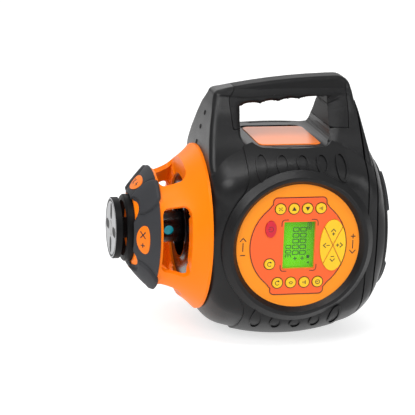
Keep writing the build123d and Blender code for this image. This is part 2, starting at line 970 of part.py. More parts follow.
with BuildPart() as motor_pulley:
    with BuildSketch(at_x(pulley_x)):
        with Locations((0, motor_height)):
            Circle(motor_pulley_radius)
    extrude(amount=pulley_width)
    with BuildSketch(at_x(motor_back_x - motor_length / 2 - 1)):
        with Locations((0, motor_height)):
            Circle(shaft_radius)
    extrude(amount=motor_back_x - motor_length / 2 - 1 - pulley_x)
write(motor_pulley, "motor_pulley")


def belt_loop(grow):
    """Outline of the belt's run round both pulleys, grown from their rims."""
    Circle(pulley_radius + grow)
    with Locations((0, motor_height)):
        Circle(motor_pulley_radius + grow)
    make_hull()


with BuildPart() as drive_belt:
    with BuildSketch(at_x(pulley_x - (pulley_width - belt_width) / 2)):
        belt_loop(slide_gap + belt_thickness)
    extrude(amount=belt_width)
    with BuildSketch(at_x(pulley_x)):
        belt_loop(slide_gap)
    extrude(amount=pulley_width, mode=Mode.SUBTRACT)
write(drive_belt, "drive_belt")

# Gimbal ring with the pitch blade and the bracket of the yaw drive
fork_slot = blade_thickness / 2 + fork_gap
fork_half = fork_width / 2
pitch_travel = pitch_arm * radians(5)
yaw_travel = yaw_arm * radians(5)
yaw_drive_x = yaw_blade_x + fork_half + yaw_travel + 1
pitch_drive_x = gimbal_x + fork_half + pitch_travel + 1
yaw_rod = yaw_blade_tip + fork_width / 2
pitch_rod = pitch_blade_tip + fork_width / 2
bracket_y = -(ring_inner + 0.5)
with BuildPart() as gimbal_ring:
    with BuildSketch(at_x(gimbal_x + ring_width / 2)):
        Circle(ring_outer)
        Circle(ring_inner, mode=Mode.SUBTRACT)
    extrude(amount=ring_width)
    with Locations((gimbal_x, 0, axis_height - ring_outer + 1)):
        Box(
            blade_thickness,
            2 * blade_half,
            pitch_blade_tip - ring_outer + 1,
            align=(Align.CENTER, Align.CENTER, Align.MAX),
        )
    with BuildSketch(Plane(origin=(0, 0, axis_height + drive_size / 2))):
        with Locations((gimbal_x + ring_width / 2 - 1, bracket_y)):
            Rectangle(
                yaw_drive_x + drive_length - gimbal_x - ring_width / 2 + 1,
                yaw_rod + bracket_y,
                align=(Align.MIN, Align.MAX),
            )
    extrude(amount=2.5)
    with BuildSketch(Plane(origin=(0, 0, axis_height - drive_size / 2))):
        with Locations((gimbal_x + ring_width / 2 - 1, bracket_y)):
            Rectangle(
                yaw_drive_x + drive_length - gimbal_x - ring_width / 2 + 1,
                yaw_rod + bracket_y,
                align=(Align.MIN, Align.MAX),
            )
    extrude(amount=-2.5)
    with BuildSketch(Plane.XY.offset(axis_height)):
        with Locations((gimbal_x, 0)):
            Circle(pin_radius)
    extrude(amount=ring_outer - 1, both=True, mode=Mode.SUBTRACT)
    with BuildSketch(front_plane):
        with Locations((gimbal_x, 0)):
            Circle(pin_radius)
    extrude(amount=ring_outer + 1, both=True, mode=Mode.SUBTRACT)
write(gimbal_ring, "gimbal_ring")

yoke_pin_tip = yoke_inner + 4
with BuildPart() as gimbal_pins:
    for side in (1, -1):
        with BuildSketch(Plane.XY.offset(axis_height + side * (barrel_bore + 0.5))):
            with Locations((gimbal_x, 0)):
                Circle(pin_radius)
        extrude(amount=side * (ring_outer - 1 - barrel_bore - 0.5))
        with BuildSketch(at_depth(side * (ring_inner + 0.5))):
            with Locations((gimbal_x, 0)):
                Circle(pin_radius)
        extrude(amount=side * (yoke_pin_tip - ring_inner - 0.5))
write(gimbal_pins, "gimbal_pins")

# Chassis casting bolted to the housing's head wall
shelf_z = pitch_rod + drive_size / 2
with BuildPart() as chassis_frame:
    with BuildSketch(at_x(chassis_face)):
        Circle(chassis_radius)
        Circle(chassis_bore, mode=Mode.SUBTRACT)
        with PolarLocations(screw_circle, 4, start_angle=45):
            Circle(screw_hole, mode=Mode.SUBTRACT)
    extrude(amount=chassis_thickness)
    for side in (1, -1):
        with BuildSketch(at_depth(side * yoke_arm)):
            with Locations((chassis_face - 1, 0)):
                Rectangle(
                    gimbal_x + yoke_width / 2 - chassis_face + 1,
                    yoke_width,
                    align=(Align.MIN, Align.CENTER),
                )
        extrude(amount=side * yoke_thickness)
        with BuildSketch(at_depth(side * yoke_inner)):
            with Locations((gimbal_x, 0)):
                Circle(2.5 * pin_radius)
        extrude(amount=side * (yoke_arm + 1 - yoke_inner))
        with BuildSketch(at_depth(side * (yoke_inner - 1))):
            with Locations((gimbal_x, 0)):
                Circle(pin_hole)
        extrude(amount=side * (yoke_pin_tip - yoke_inner + 2), mode=Mode.SUBTRACT)
    with BuildSketch(Plane.XY.offset(axis_height - shelf_z)):
        with Locations((chassis_face - 1, 0)):
            Rectangle(
                pitch_drive_x + drive_length - chassis_face + 1,
                drive_size + 2,
                align=(Align.MIN, Align.CENTER),
            )
    extrude(amount=-2.5)
write(chassis_frame, "chassis_frame")

# Levelling drives: a motor that pushes a forked plunger along X
plunger_reach = 12.0
rod_hole = plunger_radius + running_gap


def level_drive(name, drive_x, y, z):
    """Square motor with a bore for its plunger."""
    with BuildPart() as drive:
        with Locations((drive_x, y, axis_height + z)):
            Box(drive_length, drive_size, drive_size, align=(Align.MIN, Align.CENTER, Align.CENTER))
        chamfer(drive.edges().filter_by(Axis.X), length=2)
        with BuildSketch(Plane(origin=(drive_x, y, axis_height + z), z_dir=(1, 0, 0))):
            Circle(rod_hole)
        extrude(amount=drive_length, mode=Mode.SUBTRACT)
    write(drive, name)


level_drive("pitch_drive", pitch_drive_x, 0, -pitch_rod)
level_drive("yaw_drive", yaw_drive_x, -yaw_rod, 0)

fork_open = fork_depth + 2.5
with BuildPart() as pitch_plunger:
    with Locations((gimbal_x, 0, axis_height - pitch_arm + fork_depth / 2)):
        Box(
            fork_width,
            fork_width + 4,
            pitch_rod + fork_width / 2 - pitch_arm + fork_depth / 2,
            align=(Align.CENTER, Align.CENTER, Align.MAX),
        )
        Box(
            2 * fork_slot,
            fork_width + 4,
            fork_open,
            align=(Align.CENTER, Align.CENTER, Align.MAX),
            mode=Mode.SUBTRACT,
        )
    with BuildSketch(Plane(origin=(gimbal_x + fork_half, 0, axis_height - pitch_rod), z_dir=(1, 0, 0))):
        Circle(plunger_radius)
    extrude(amount=pitch_travel + plunger_reach)
write(pitch_plunger, "pitch_plunger")

with BuildPart() as yaw_plunger:
    with Locations((yaw_blade_x, -yaw_arm + fork_depth / 2, axis_height)):
        Box(
            fork_width,
            yaw_rod + fork_width / 2 - yaw_arm + fork_depth / 2,
            fork_width + 4,
            align=(Align.CENTER, Align.MAX, Align.CENTER),
        )
        Box(
            2 * fork_slot,
            fork_open,
            fork_width + 4,
            align=(Align.CENTER, Align.MAX, Align.CENTER),
            mode=Mode.SUBTRACT,
        )
    with BuildSketch(Plane(origin=(yaw_blade_x + fork_half, -yaw_rod, axis_height), z_dir=(1, 0, 0))):
        Circle(plunger_radius)
    extrude(amount=yaw_travel + plunger_reach)
write(yaw_plunger, "yaw_plunger")

# Keys: each has an outline that can be grown, and the place of its stem
key_gap = 0.2
flange_grow = 0.8


def round_key(x, z):
    """Outline of a round key, which grows by a margin."""

    def outline(grow):
        with Locations((x, z)):
            Circle(key_radius + grow)

    return outline, (x, z)


def power_key():
    """Outline of the oval power key."""

    def outline(grow):
        with Locations((side_key_x, power_z)):
            Ellipse(power_width / 2 + grow, power_height / 2 + grow)

    return outline, (side_key_x, power_z)


def pad_key(turn):
    """Outline of one quadrant of the arrow pad: 0 right, 1 up, 2 left, 3 down."""
    corner = (pad_width / 2, pad_height / 2)
    across = turn % 2 == 0
    sign = 1 if turn < 2 else -1
    half_angle = atan2(corner[1], corner[0]) if across else atan2(corner[0], corner[1])
    back = pad_split / 2 / sin(half_angle)
    reach = 3
    if across:
        apex = (pad_x + sign * back, 0)
        far = [(apex[0] + sign * reach * corner[0], turn_z * reach * corner[1]) for turn_z in (1, -1)]
        stem = (pad_x + sign * 0.55 * corner[0], 0)
    else:
        apex = (pad_x, sign * back)
        far = [(apex[0] + turn_x * reach * corner[0], apex[1] + sign * reach * corner[1]) for turn_x in (1, -1)]
        stem = (pad_x, sign * 0.55 * corner[1])

    def outline(grow):
        with Locations((pad_x, 0)):
            Ellipse(corner[0] + grow, corner[1] + grow)
        Polygon(apex, far[0], far[1], align=None, mode=Mode.INTERSECT)

    return outline, stem


keys = {}
for column in range(4):
    column_x = key_row_x + (column - 1.5) * key_pitch
    keys[f"key_top_{column + 1}"] = round_key(column_x, key_top_z)
    keys[f"key_bottom_{column + 1}"] = round_key(column_x, key_bottom_z)
keys["key_side"] = round_key(side_key_x, side_key_z)
keys["key_power"] = power_key()
for turn, side_name in enumerate(("right", "up", "left", "down")):
    keys[f"key_pad_{side_name}"] = pad_key(turn)

overlay_face = plate_face + overlay_thickness
key_face = overlay_face + key_proud
flange_face = front_flat - seat_gap
stem_end = board_depth + dome_height + key_travel + slide_gap
for key_name, (outline, stem) in keys.items():
    with BuildPart() as key:
        with BuildSketch(at_depth(flange_face)):
            outline(0)
        extrude(amount=key_face - flange_face)
        fillet(key.faces().sort_by(Axis.Y)[0].edges(), radius=key_proud / 3)
        with BuildSketch(at_depth(flange_face - key_flange)):
            outline(flange_grow)
        extrude(amount=key_flange)
        with BuildSketch(at_depth(stem_end)):
            with Locations(stem):
                Circle(stem_radius)
        extrude(amount=flange_face - stem_end)
    write(key, key_name)


def key_holes():
    """Holes of every key and of the display window, cut from the sketch in hand."""
    for outline, stem in keys.values():
        with BuildSketch(Plane.XY, mode=Mode.PRIVATE) as hole:
            outline(key_gap)
        add(hole.sketch, mode=Mode.SUBTRACT)
    with Locations((pad_x, 0)):
        Ellipse(pad_width / 2 + key_gap, pad_height / 2 + key_gap, mode=Mode.SUBTRACT)
    with Locations((lcd_x, lcd_z)):
        Rectangle(lcd_width, lcd_height, mode=Mode.SUBTRACT)


# Orange panel disc, with the film over it
with BuildPart() as panel_plate:
    with BuildSketch(at_depth(front_flat)):
        Circle(panel_radius - seat_gap)
        key_holes()
    extrude(amount=plate_face - front_flat)
write(panel_plate, "panel_plate")

with BuildPart() as keypad_overlay:
    with BuildSketch(at_depth(plate_face)) as film:
        Circle(overlay_radius)
        RectangleRounded(tab_width, tab_height, tab_round)
        key_holes()
    extrude(amount=overlay_thickness)
write(keypad_overlay, "keypad_overlay")

# Display window, display and board
with BuildPart() as lcd_window:
    with BuildSketch(at_depth(front_flat)):
        with Locations((lcd_x, lcd_z)):
            Rectangle(lcd_width - 2 * seat_gap, lcd_height - 2 * seat_gap)
    extrude(amount=overlay_face - front_flat)
write(lcd_window, "lcd_window")

with BuildPart() as lcd_module:
    with BuildSketch(at_depth(board_depth)):
        with Locations((lcd_x, lcd_z)):
            RectangleRounded(lcd_width + 4, lcd_height + 4, 1.5)
    extrude(amount=front_flat - seat_gap - board_depth)
write(lcd_module, "lcd_module")

with BuildPart() as main_board:
    with BuildSketch(at_depth(board_depth - board_thickness)):
        RectangleRounded(board_width, board_height, 5)
    extrude(amount=board_thickness)
    with BuildSketch(at_depth(board_depth)):
        for outline, stem in keys.values():
            with Locations(stem):
                Circle(dome_radius)
    extrude(amount=dome_height)
write(main_board, "main_board")

# Base plate with its feet and tripod thread
insert_start = base_face - insert_length
with BuildPart() as base_plate:
    with BuildSketch(at_x(base_face)):
        Circle(base_plate_radius)
    extrude(amount=base_plate_thickness)
    fillet(base_plate.faces().sort_by(Axis.X)[-1].edges(), radius=1.5)
    with BuildSketch(at_x(base_end)):
        Circle(base_bore - seat_gap)
    extrude(amount=base_spigot)
    with BuildSketch(at_x(base_end)):
        Circle(insert_radius + 2 * wall)
    extrude(amount=base_end - insert_start)
    with BuildSketch(at_x(base_face)):
        Circle(insert_radius)
    extrude(amount=insert_length, mode=Mode.SUBTRACT)
    with BuildSketch(at_x(base_face)):
        with PolarLocations(screw_circle, 4):
            Circle(screw_hole)
    extrude(amount=2 * base_plate_thickness, mode=Mode.SUBTRACT)
    with BuildSketch(at_x(base_face)):
        with PolarLocations(screw_circle, 4):
            Circle(screw_head_radius + seat_gap)
    extrude(amount=screw_head_height, mode=Mode.SUBTRACT)
write(base_plate, "base_plate")

with BuildPart() as base_feet:
    with BuildSketch(at_x(base_face)):
        for foot in range(4):
            middle = 45 + 90 * foot
            start = middle - base_foot_angle / 2
            with BuildLine():
                inner = CenterArc((0, 0), base_foot_inner, start, base_foot_angle)
                outer = CenterArc((0, 0), base_foot_outer, start, base_foot_angle)
                Line(inner @ 0, outer @ 0)
                Line(inner @ 1, outer @ 1)
            make_face()
    extrude(amount=-base_foot_height)
write(base_feet, "base_feet")

with BuildPart() as tripod_insert:
    with BuildSketch(at_x(base_face)):
        Circle(insert_radius)
        Circle(thread_radius, mode=Mode.SUBTRACT)
    extrude(amount=insert_length)
write(tripod_insert, "tripod_insert")

with BuildPart() as side_tripod_insert:
    with BuildSketch(Plane.XY):
        Circle(insert_radius)
        Circle(thread_radius, mode=Mode.SUBTRACT)
    extrude(amount=side_insert_length)
write(side_tripod_insert, "side_tripod_insert")

with BuildPart() as side_feet:
    with BuildSketch(Plane.XY):
        with GridLocations(2 * side_foot_x, 2 * side_foot_y, 2, 2):
            Circle(side_foot_radius)
    extrude(amount=foot_height)
write(side_feet, "side_feet")

# Screws: four hold the chassis from inside, four hold the base plate
with BuildPart() as housing_screws:
    with BuildSketch(at_x(chassis_face + screw_head_height)):
        with PolarLocations(screw_circle, 4, start_angle=45):
            Circle(screw_head_radius)
    extrude(amount=screw_head_height)
    with BuildSketch(at_x(chassis_face)):
        with PolarLocations(screw_circle, 4, start_angle=45):
            Circle(screw_radius)
    extrude(amount=chassis_thickness + wall - 0.2)
    with BuildSketch(at_x(base_face)):
        with PolarLocations(screw_circle, 4):
            Circle(screw_head_radius)
    extrude(amount=screw_head_height)
    with BuildSketch(at_x(base_face - screw_head_height)):
        with PolarLocations(screw_circle, 4):
            Circle(screw_radius)
    extrude(amount=screw_length)
write(housing_screws, "housing_screws")

# Battery unit: lid, tray, four cells and a captive screw
tray_half = 2 * cell_radius + tray_wall
cell_center = cell_radius + tray_wall / 4
tray_y = lid_back - tray_half
with BuildPart() as battery_cover:
    with BuildSketch(at_depth(-lid_back)):
        with Locations((lid_x, 0)):
            RectangleRounded(lid_width, lid_height, lid_round)
    extrude(amount=-lid_thickness)
    fillet(battery_cover.faces().sort_by(Axis.Y)[-1].edges(), radius=1.5)
    with BuildSketch(at_depth(-lid_back)):
        with Locations((lock_x, 0)):
            Circle(lock_hole)
    extrude(amount=-lid_thickness, mode=Mode.SUBTRACT)
write(battery_cover, "battery_cover")

with BuildPart() as battery_tray:
    with Locations((well_x, tray_y, axis_height)):
        Box(2 * tray_half, 2 * tray_half, cell_length)
    with BuildSketch(Plane.XY.offset(axis_height)):
        with Locations((well_x, tray_y)):
            with GridLocations(2 * cell_center, 2 * cell_center, 2, 2):
                Circle(cell_radius + seat_gap)
    extrude(amount=cell_length, both=True, mode=Mode.SUBTRACT)
write(battery_tray, "battery_tray")

with BuildPart() as battery_cells:
    with BuildSketch(Plane.XY.offset(axis_height - cell_length / 2)):
        with Locations((well_x, tray_y)):
            with GridLocations(2 * cell_center, 2 * cell_center, 2, 2):
                Circle(cell_radius)
    extrude(amount=cell_length)
write(battery_cells, "battery_cells")

with BuildPart() as battery_screw:
    with BuildSketch(at_depth(-lock_seat)):
        with Locations((lock_x, 0)):
            Circle(lock_head_radius)
    extrude(amount=-lock_head_height)
    with BuildSketch(at_depth(-lock_seat)):
        with Locations((lock_x, 0)):
            Circle(lock_shank_radius)
    extrude(amount=lock_length)
    with Locations((lock_x, lock_seat + lock_head_height, axis_height)):
        Box(
            2 * lock_head_radius,
            lock_head_height / 2,
            2,
            align=(Align.CENTER, Align.MAX, Align.CENTER),
            mode=Mode.SUBTRACT,
        )
write(battery_screw, "battery_screw")
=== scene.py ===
"""Looks of a rotary laser level that lies on its belly for vertical use.

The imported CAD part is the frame: every piece here stands where its CAD node stands, in metres.
"""
import json
from math import asin, atan2, copysign, cos, hypot, pi, radians, sin, sqrt, tau

import bmesh
import bpy
from bpy.props import FloatProperty, FloatVectorProperty, IntProperty, PointerProperty
from mathutils import Matrix, Vector
from mathutils.bvhtree import BVHTree
from mathutils.kdtree import KDTree


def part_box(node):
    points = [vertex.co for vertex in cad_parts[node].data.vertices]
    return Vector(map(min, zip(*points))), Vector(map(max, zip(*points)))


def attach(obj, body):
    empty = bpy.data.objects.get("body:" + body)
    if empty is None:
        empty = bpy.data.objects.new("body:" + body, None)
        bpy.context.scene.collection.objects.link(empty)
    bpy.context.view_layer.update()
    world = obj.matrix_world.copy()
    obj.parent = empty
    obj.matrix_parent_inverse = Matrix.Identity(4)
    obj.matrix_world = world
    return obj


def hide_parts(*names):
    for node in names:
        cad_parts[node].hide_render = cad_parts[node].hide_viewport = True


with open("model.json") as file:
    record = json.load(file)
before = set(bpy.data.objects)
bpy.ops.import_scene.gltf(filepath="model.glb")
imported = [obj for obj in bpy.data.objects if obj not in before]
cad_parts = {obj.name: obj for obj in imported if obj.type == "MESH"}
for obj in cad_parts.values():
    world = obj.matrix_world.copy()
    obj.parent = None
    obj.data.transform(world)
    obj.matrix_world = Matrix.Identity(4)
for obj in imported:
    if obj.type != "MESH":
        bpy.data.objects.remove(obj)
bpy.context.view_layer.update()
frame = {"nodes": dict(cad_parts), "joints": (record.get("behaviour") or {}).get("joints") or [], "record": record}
nodes = frame["nodes"]
record = frame["record"]
joints = {joint["name"]: joint for joint in frame["joints"]}
node_body = {node: body for body, members in record["behaviour"]["bodies"].items() for node in members}
node_slot = {row["node"]: row["material_slot"] for row in record["subparts"]}

bl_info = {
    "name": "Rotary Laser Level",
    "version": (1, 0, 0),
    "blender": (4, 5, 0),
    "location": "View3D > Sidebar > Laser Level",
    "description": "Dresses the packed rotary laser level and sets its stage",
    "category": "Object",
}

# Places read from the frame
axis_height = joints["head_spin"]["pos_m"][2]
film_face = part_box("keypad_overlay")[0].y
plate_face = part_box("panel_plate")[0].y
display_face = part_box("lcd_module")[0].y
cap_front_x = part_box("rotor_head")[0].x
key_names = sorted(name for name in nodes if name.startswith("key_"))

# Meshes: what counts as one point or one face, and how edges are shaded, cut and mitred
merge_distance = 1e-6
face_distance = 1e-5
crease_angle = radians(32)
shading_weight = 60
cutting_rounds = 9
mitre_limit = 0.3

# Dome under the rubber bumper, along the laser axis and out from it
dome_rim_x = -0.122
dome_rim_radius = 0.054
dome_top_x = -0.1395
dome_top_radius = 0.034

# Bumper: its ends along the axis, its rubber, its hole, and the shape of its foot, lobes, creases and lip
bumper_base_x = -0.1213
bumper_top_x = dome_top_x - 0.002
lobe_base_x = -0.1195
bumper_thickness = 0.0026
bumper_seat = 0.0001
bumper_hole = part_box("guard_collar")[1].z - axis_height + 0.0003
bumper_crease = radians(50)
foot_round = 0.3
lobe_slope = (0.0006, 0.0016)
lobe_plateau = 0.75
lobe_crown = 0.35
lobe_lean = (0.66, 0.75)
crease_place = 0.0008
crease_width = 0.0014
crease_depth = 0.0009
lip_width = 0.002
lip_drop = 0.0007
badge_face = 0.0034
badge_radius = 0.0425
badge_shift = 0.0025

# Windows of the lantern: head and base edge along the laser axis in the solid and here, how finely they
# are cut and where their opening fades, then the flare of the skirt and the pillars
cad_window = (-0.118, -0.09)
cad_window_half = (0.025, 0.0285)
window = (-0.1187, -0.0942)
window_angle = radians(33)
window_edge = 0.0028
widest_sine = 0.9
base_fade = (0.005, 0.0005)
head_fade = 0.0005
skirt_end_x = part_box("lantern_guard")[1].x - 0.0025
skirt_radius = 0.076
flare_waist = Vector((-0.095, 0.0636))
cad_pillar_inner = 0.049
pillar_wall = 0.0046
chord_sag = 0.001

# Dish at the foot of the lantern: its face, its hole, and how far its rim is drawn in
dish_face_x = -0.091
dish_hole = 0.027
dish_rim_share = 0.42

# Handle seen from the front, in millimetres from the laser axis: its corners with their rounding,
# its arcs and the width of its arch, in the solid and here, and where the bend fades
millimetres = 1000
bend_middle = (-4.0, 100.0)
cad_handle = ((-77.0, 30.0, 0.0), (-67.0, 138.0, 14.0), (62.0, 145.5, 20.0), (78.0, 30.0, 0.0))
cad_opening = ((-45.0, 116.5, 0.0), (49.0, 121.5, 0.0), (45.0, 85.0, 18.0), (-49.0, 85.0, 18.0))
cad_arch = ((60.0, 57.0), (116.0, 27.0), (127.0, 15.0), (160.0, 15.0))
handle_arcs = (
    ((-77.5, 30.0), (-74.7, 96.0), (-66.5, 128.5), 6.0),
    ((-66.5, 128.5), (-9.0, 137.5), (59.0, 141.0), 14.0),
    ((59.0, 141.0), (69.0, 96.0), (78.0, 30.0), 0.0),
)
opening = ((-45.0, 116.0, 0.0), (38.0, 123.5, 0.0), (35.0, 85.0, 9.0), (-48.0, 85.0, 9.0))
arch = ((60.0, 57.0), (112.0, 26.0), (130.0, 11.0), (160.0, 11.0))
bend_steps = 720
bend_inner_fade = 7.0
bend_outer_fade = 6.0
bend_foot = (40.0, 75.0)
slim_fade = 20.0
bend_edge = 0.005
parallel_area = 1e-9
share_slack = 1e-6

# Orange plate: its base end and its two sides
plate_end_x = 0.027
plate_sides = (-0.042, 0.028)

# Film: its disc, half the width of its tabs in the solid, what the tabs gain, and where that fades
film_radius = 0.0449
film_slack = 0.0001
cad_tab_half = 0.0225
tab_gain = 0.0025
tab_fade = 0.008
tab_zone = (0.034, 0.038)
key_clear = 0.0052

# Treads of the front cover: the middle one in the solid and here, how close they stand, and where they begin
cad_tread_middle = 0.004
tread_middle = 0.0025
tread_share = 0.944
tread_zone = (0.052, 0.062)

# Hand opening under the grip: its middle and reach, how its rims are found, and how finely it is cut
opening_middle = Vector((0.0, 0.0, axis_height + 0.1015))
opening_reach = Vector((0.055, 0.0, 0.03))
opening_skip = 0.006
opening_edge = 0.0013
opening_far = 1.0
grip_fade = (-0.012, 0.006)
rim_face_normal = 0.5
rim_wall_normal = 0.25
rim_step = 0.0005
rim_width = 0.0003
front_normal = 0.4
edge_samples = 8
seam_reach = 0.0009

# Screw wells of the fins from the laser axis, and the steps and thickness of their rims
well_places = (
    (-0.075, 0.0, 0.107),
    (-0.078, 0.004, 0.0932),
    (-0.079, 0.008, 0.0778),
    (0.038, 0.020, 0.104),
    (0.038, -0.014, 0.106),
)
well_steps = 32
bead_steps = 8
bead_share = 0.16

# Prints on the cap, the keys and the film
cap_ring_steps = 96
slot_steps = 12
key_ring_share = 0.475
key_ring_steps = 48
symbol_size = 0.0019
power_size = 0.0022
arrow_size = 0.0021
symbol_stroke = 0.0006
segment_gap = 0.15
bracket_gap = 0.0022
bracket_bend = 0.003
bracket_steps = 8
bracket_share = 0.9

# Arrow pad: turn of each quarter, place, size and stroke of its arrow and its sign, and the web between them
pad_turns = {"up": 0.0, "left": 90.0, "down": 180.0, "right": 270.0}
pad_arrow = (0.0012, 0.0022, 0.0008)
pad_sign = (-0.0022, 0.0015, 0.0007)
web_share = 0.69
web_drop = 0.0002
web_width = 0.0005
web_gap = (0.0004, 0.0008)

# Marks of the orange ring and of the badges: place and size of an arrow and a sign, and their stroke
ring_arrow = (0.007, 0.0028)
ring_sign = (0.0075, 0.0022)
ring_stem = 0.004
ring_stroke = 0.0009
badge_arrows = ((0.0032, -90.0), (0.0058, 90.0))
badge_arrow_size = 0.0029
badge_sign = (-0.0052, 0.0022)
badge_stroke = 0.0011

# Display: rows of (digits, from the left, below the top, width, height, pitch, stroke), and the foot's icons
display_rows = (
    ("300", 0.0095, 0.0078, 0.0026, 0.0046, 0.0043, 0.0007),
    ("+00000", 0.0068, 0.0148, 0.0034, 0.0054, 0.0054, 0.0008),
    ("+00000", 0.0068, 0.0215, 0.0034, 0.0054, 0.0054, 0.0008),
    ("1", 0.0145, 0.0258, 0.0016, 0.0032, 0.003, 0.0005),
)
display_foot = 0.0258
foot_triangle = (0.0045, 0.0016, 0.0012)
foot_block = ((0.0085, 0.0004), (0.0115, 0.0004), (0.0115, 0.003), (0.0085, 0.003))
foot_frame = ((0.0355, 0.0), (0.0415, 0.0), (0.0415, 0.0032), (0.0355, 0.0032))
foot_frame_stroke = 0.0005
foot_bars = (0.0368, 0.0385, 0.0402)
foot_bar_ends = (0.0008, 0.0024)
foot_bar_width = 0.0009

# Stage: lights as (name, place, size, setting of the power), what they look at, and the camera's lens
lights = (
    ("key_light", (-1.2, -1.1, 1.4), (0.9, 0.9), "key_power"),
    ("fill_light", (1.5, -1.3, 0.8), (1.0, 1.0), "fill_power"),
    ("back_light", (0.2, 1.5, 0.9), (2.4, 1.0), "back_power"),
    ("strip_light", (-0.25, -0.45, 1.5), (1.5, 0.22), "strip_power"),
)
light_target = Vector((-0.02, 0.0, axis_height))
sensor_width = 36.0
camera_reach = 50.0


def colour_property(name, description, default):
    """A colour that a user would change."""
    return FloatVectorProperty(name=name, description=description, default=default, subtype="COLOR",
                               size=3, min=0.0, max=1.0)


def length_property(name, description, default):
    """A length that a user would change."""
    return FloatProperty(name=name, description=description, default=default, unit="LENGTH", precision=5)


def angle_property(name, description, default):
    """An angle that a user would change."""
    return FloatProperty(name=name, description=description, default=radians(default), subtype="ANGLE")


def number_property(name, description, default):
    """A plain number that a user would change."""
    return FloatProperty(name=name, description=description, default=default, min=0.0)


class LaserLevelColours(bpy.types.PropertyGroup):
    """Colours of the mouldings, the prints and the lit display."""

    housing: colour_property("Housing", "Black moulding of barrel and base", (0.0062, 0.0062, 0.0068))
    cover: colour_property("Covers", "Darker black of the front and rear covers", (0.0048, 0.0048, 0.0053))
    grip: colour_property("Grip", "Soft black moulding of the carry handle", (0.0055, 0.0055, 0.006))
    guard: colour_property("Guard", "Orange moulding of the lantern guard", (0.93, 0.195, 0.001))
    bumper: colour_property("Bumper", "Dark rubber over the guard's dome", (0.032, 0.033, 0.037))
    panel: colour_property("Panel", "Orange ring of the control panel", (0.92, 0.275, 0.008))
    film: colour_property("Film", "Printed film of the keypad", (0.86, 0.118, 0.022))
    key: colour_property("Keys", "Yellow keys", (0.88, 0.525, 0.01))
    power: colour_property("Power key", "Red power key", (0.60, 0.008, 0.03))
    display: colour_property("Display", "Lit face of the display", (0.17, 0.74, 0.006))
    ink: colour_property("Ink", "Printed lines and symbols", (0.012, 0.004, 0.003))
    aperture: colour_property("Aperture", "Coating of the beam's window", (0.0, 0.42, 0.55))


class LaserLevelDetails(bpy.types.PropertyGroup):
    """Sizes of the printed marks, the bumper's lobes and the small fittings."""

    ink_height: length_property("Ink height", "How far a print stands above its face", 0.00005)
    outline_width: length_property("Outline width", "Line printed round the film", 0.0008)
    outline_inset: length_property("Outline inset", "Distance of that line from the film's edge", 0.0004)
    ring_width: length_property("Ring width", "Line printed round each key", 0.0006)
    bracket_reach: length_property("Bracket reach", "Length of the marks at the display's corners", 0.006)
    lobe_raise: length_property("Lobe raise", "Height of the bumper's lobes", 0.0024)
    lobe_radius: length_property("Lobe radius", "Radius of a lobe seen from the head end", 0.015)
    lobe_distance: length_property("Lobe distance", "Distance of a lobe from the laser axis", 0.046)
    lobe_angle: angle_property("Lobe angle", "Angle of a lobe above the level line", 52.0)
    scallop_radius: length_property("Scallop radius", "Radius of the notches in the bumper's hole", 0.012)
    scallop_distance: length_property("Scallop distance", "Distance of a notch from the laser axis", 0.028)
    cap_ring_width: length_property("Cap ring width", "Pale ring round the cap's front", 0.0013)
    # The slot fills stand for the black head seen through the slots and for painted shade inside them
    slot_width: length_property("Slot width", "Width of the inlays in the cap's slots", 0.0084)
    slot_web: length_property("Slot web", "Web between a slot and the edges of the cap's face", 0.00125)
    grip_round: length_property("Grip round", "Rounding of the hand opening along the grip", 0.0055)
    sill_round: length_property("Sill round", "Rounding of the hand opening along its sill", 0.0028)
    well_radius: length_property("Well radius", "Radius of the screw wells in the fins", 0.002)
    bumper_turns: IntProperty(name="Bumper steps", description="Steps round the bumper", default=432, min=48)


class LaserLevelStage(bpy.types.PropertyGroup):
    """Camera, lights and floor."""

    heading: angle_property("Heading", "Camera's turn from the panel's normal", 13.41)
    pitch: angle_property("Pitch", "Camera's look down", 15.33)
    roll: angle_property("Roll", "Camera's roll", 2.12)
    distance: length_property("Distance", "From the camera to the panel's centre on the laser axis", 1.8584)
    focal_pixels: number_property("Focal length", "Focal length in pixels", 2000.0)
    picture_size: number_property("Picture size", "Side of the picture in pixels", 415.0)
    aim_u: number_property("Aim across", "Pixel of the panel's centre, from the left", 276.85)
    aim_v: number_property("Aim down", "Pixel of the panel's centre, from the top", 223.03)
    floor_size: length_property("Floor size", "Side of the floor", 14.0)
    floor_colour: colour_property("Floor", "Pale floor", (0.5, 0.5, 0.5))
    floor_glow: number_property("Floor glow", "Light of the floor itself", 0.68)
    sky_strength: number_property("Sky", "Strength of the light overhead", 0.8)
    horizon_strength: number_property("Horizon", "Strength of the level light", 0.22)
    key_power: number_property("Key light", "Power of the key light in watts", 17.0)
    fill_power: number_property("Fill light", "Power of the fill light in watts", 10.0)
    strip_power: number_property("Strip light", "Power of the strip overhead in watts", 8.0)
    back_power: number_property("Back light", "Power of the back light in watts", 8.0)


class LaserLevelSettings(bpy.types.PropertyGroup):
    """All the settings of the laser level."""

    colours: PointerProperty(type=LaserLevelColours)
    details: PointerProperty(type=LaserLevelDetails)
    stage: PointerProperty(type=LaserLevelStage)


# Node trees
def find_socket(sockets, key):
    """A socket by its place, its name or its identifier."""
    if isinstance(key, int):
        return sockets[key]
    return next(socket for socket in sockets if key in (socket.identifier, socket.name))


def operator_pair(operation):
    """An operator of a value, and its reflected form."""
    def straight(self, other):
        return self.math(operation, self, other)

    def reflected(self, other):
        return self.math(operation, other, self)

    return straight, reflected


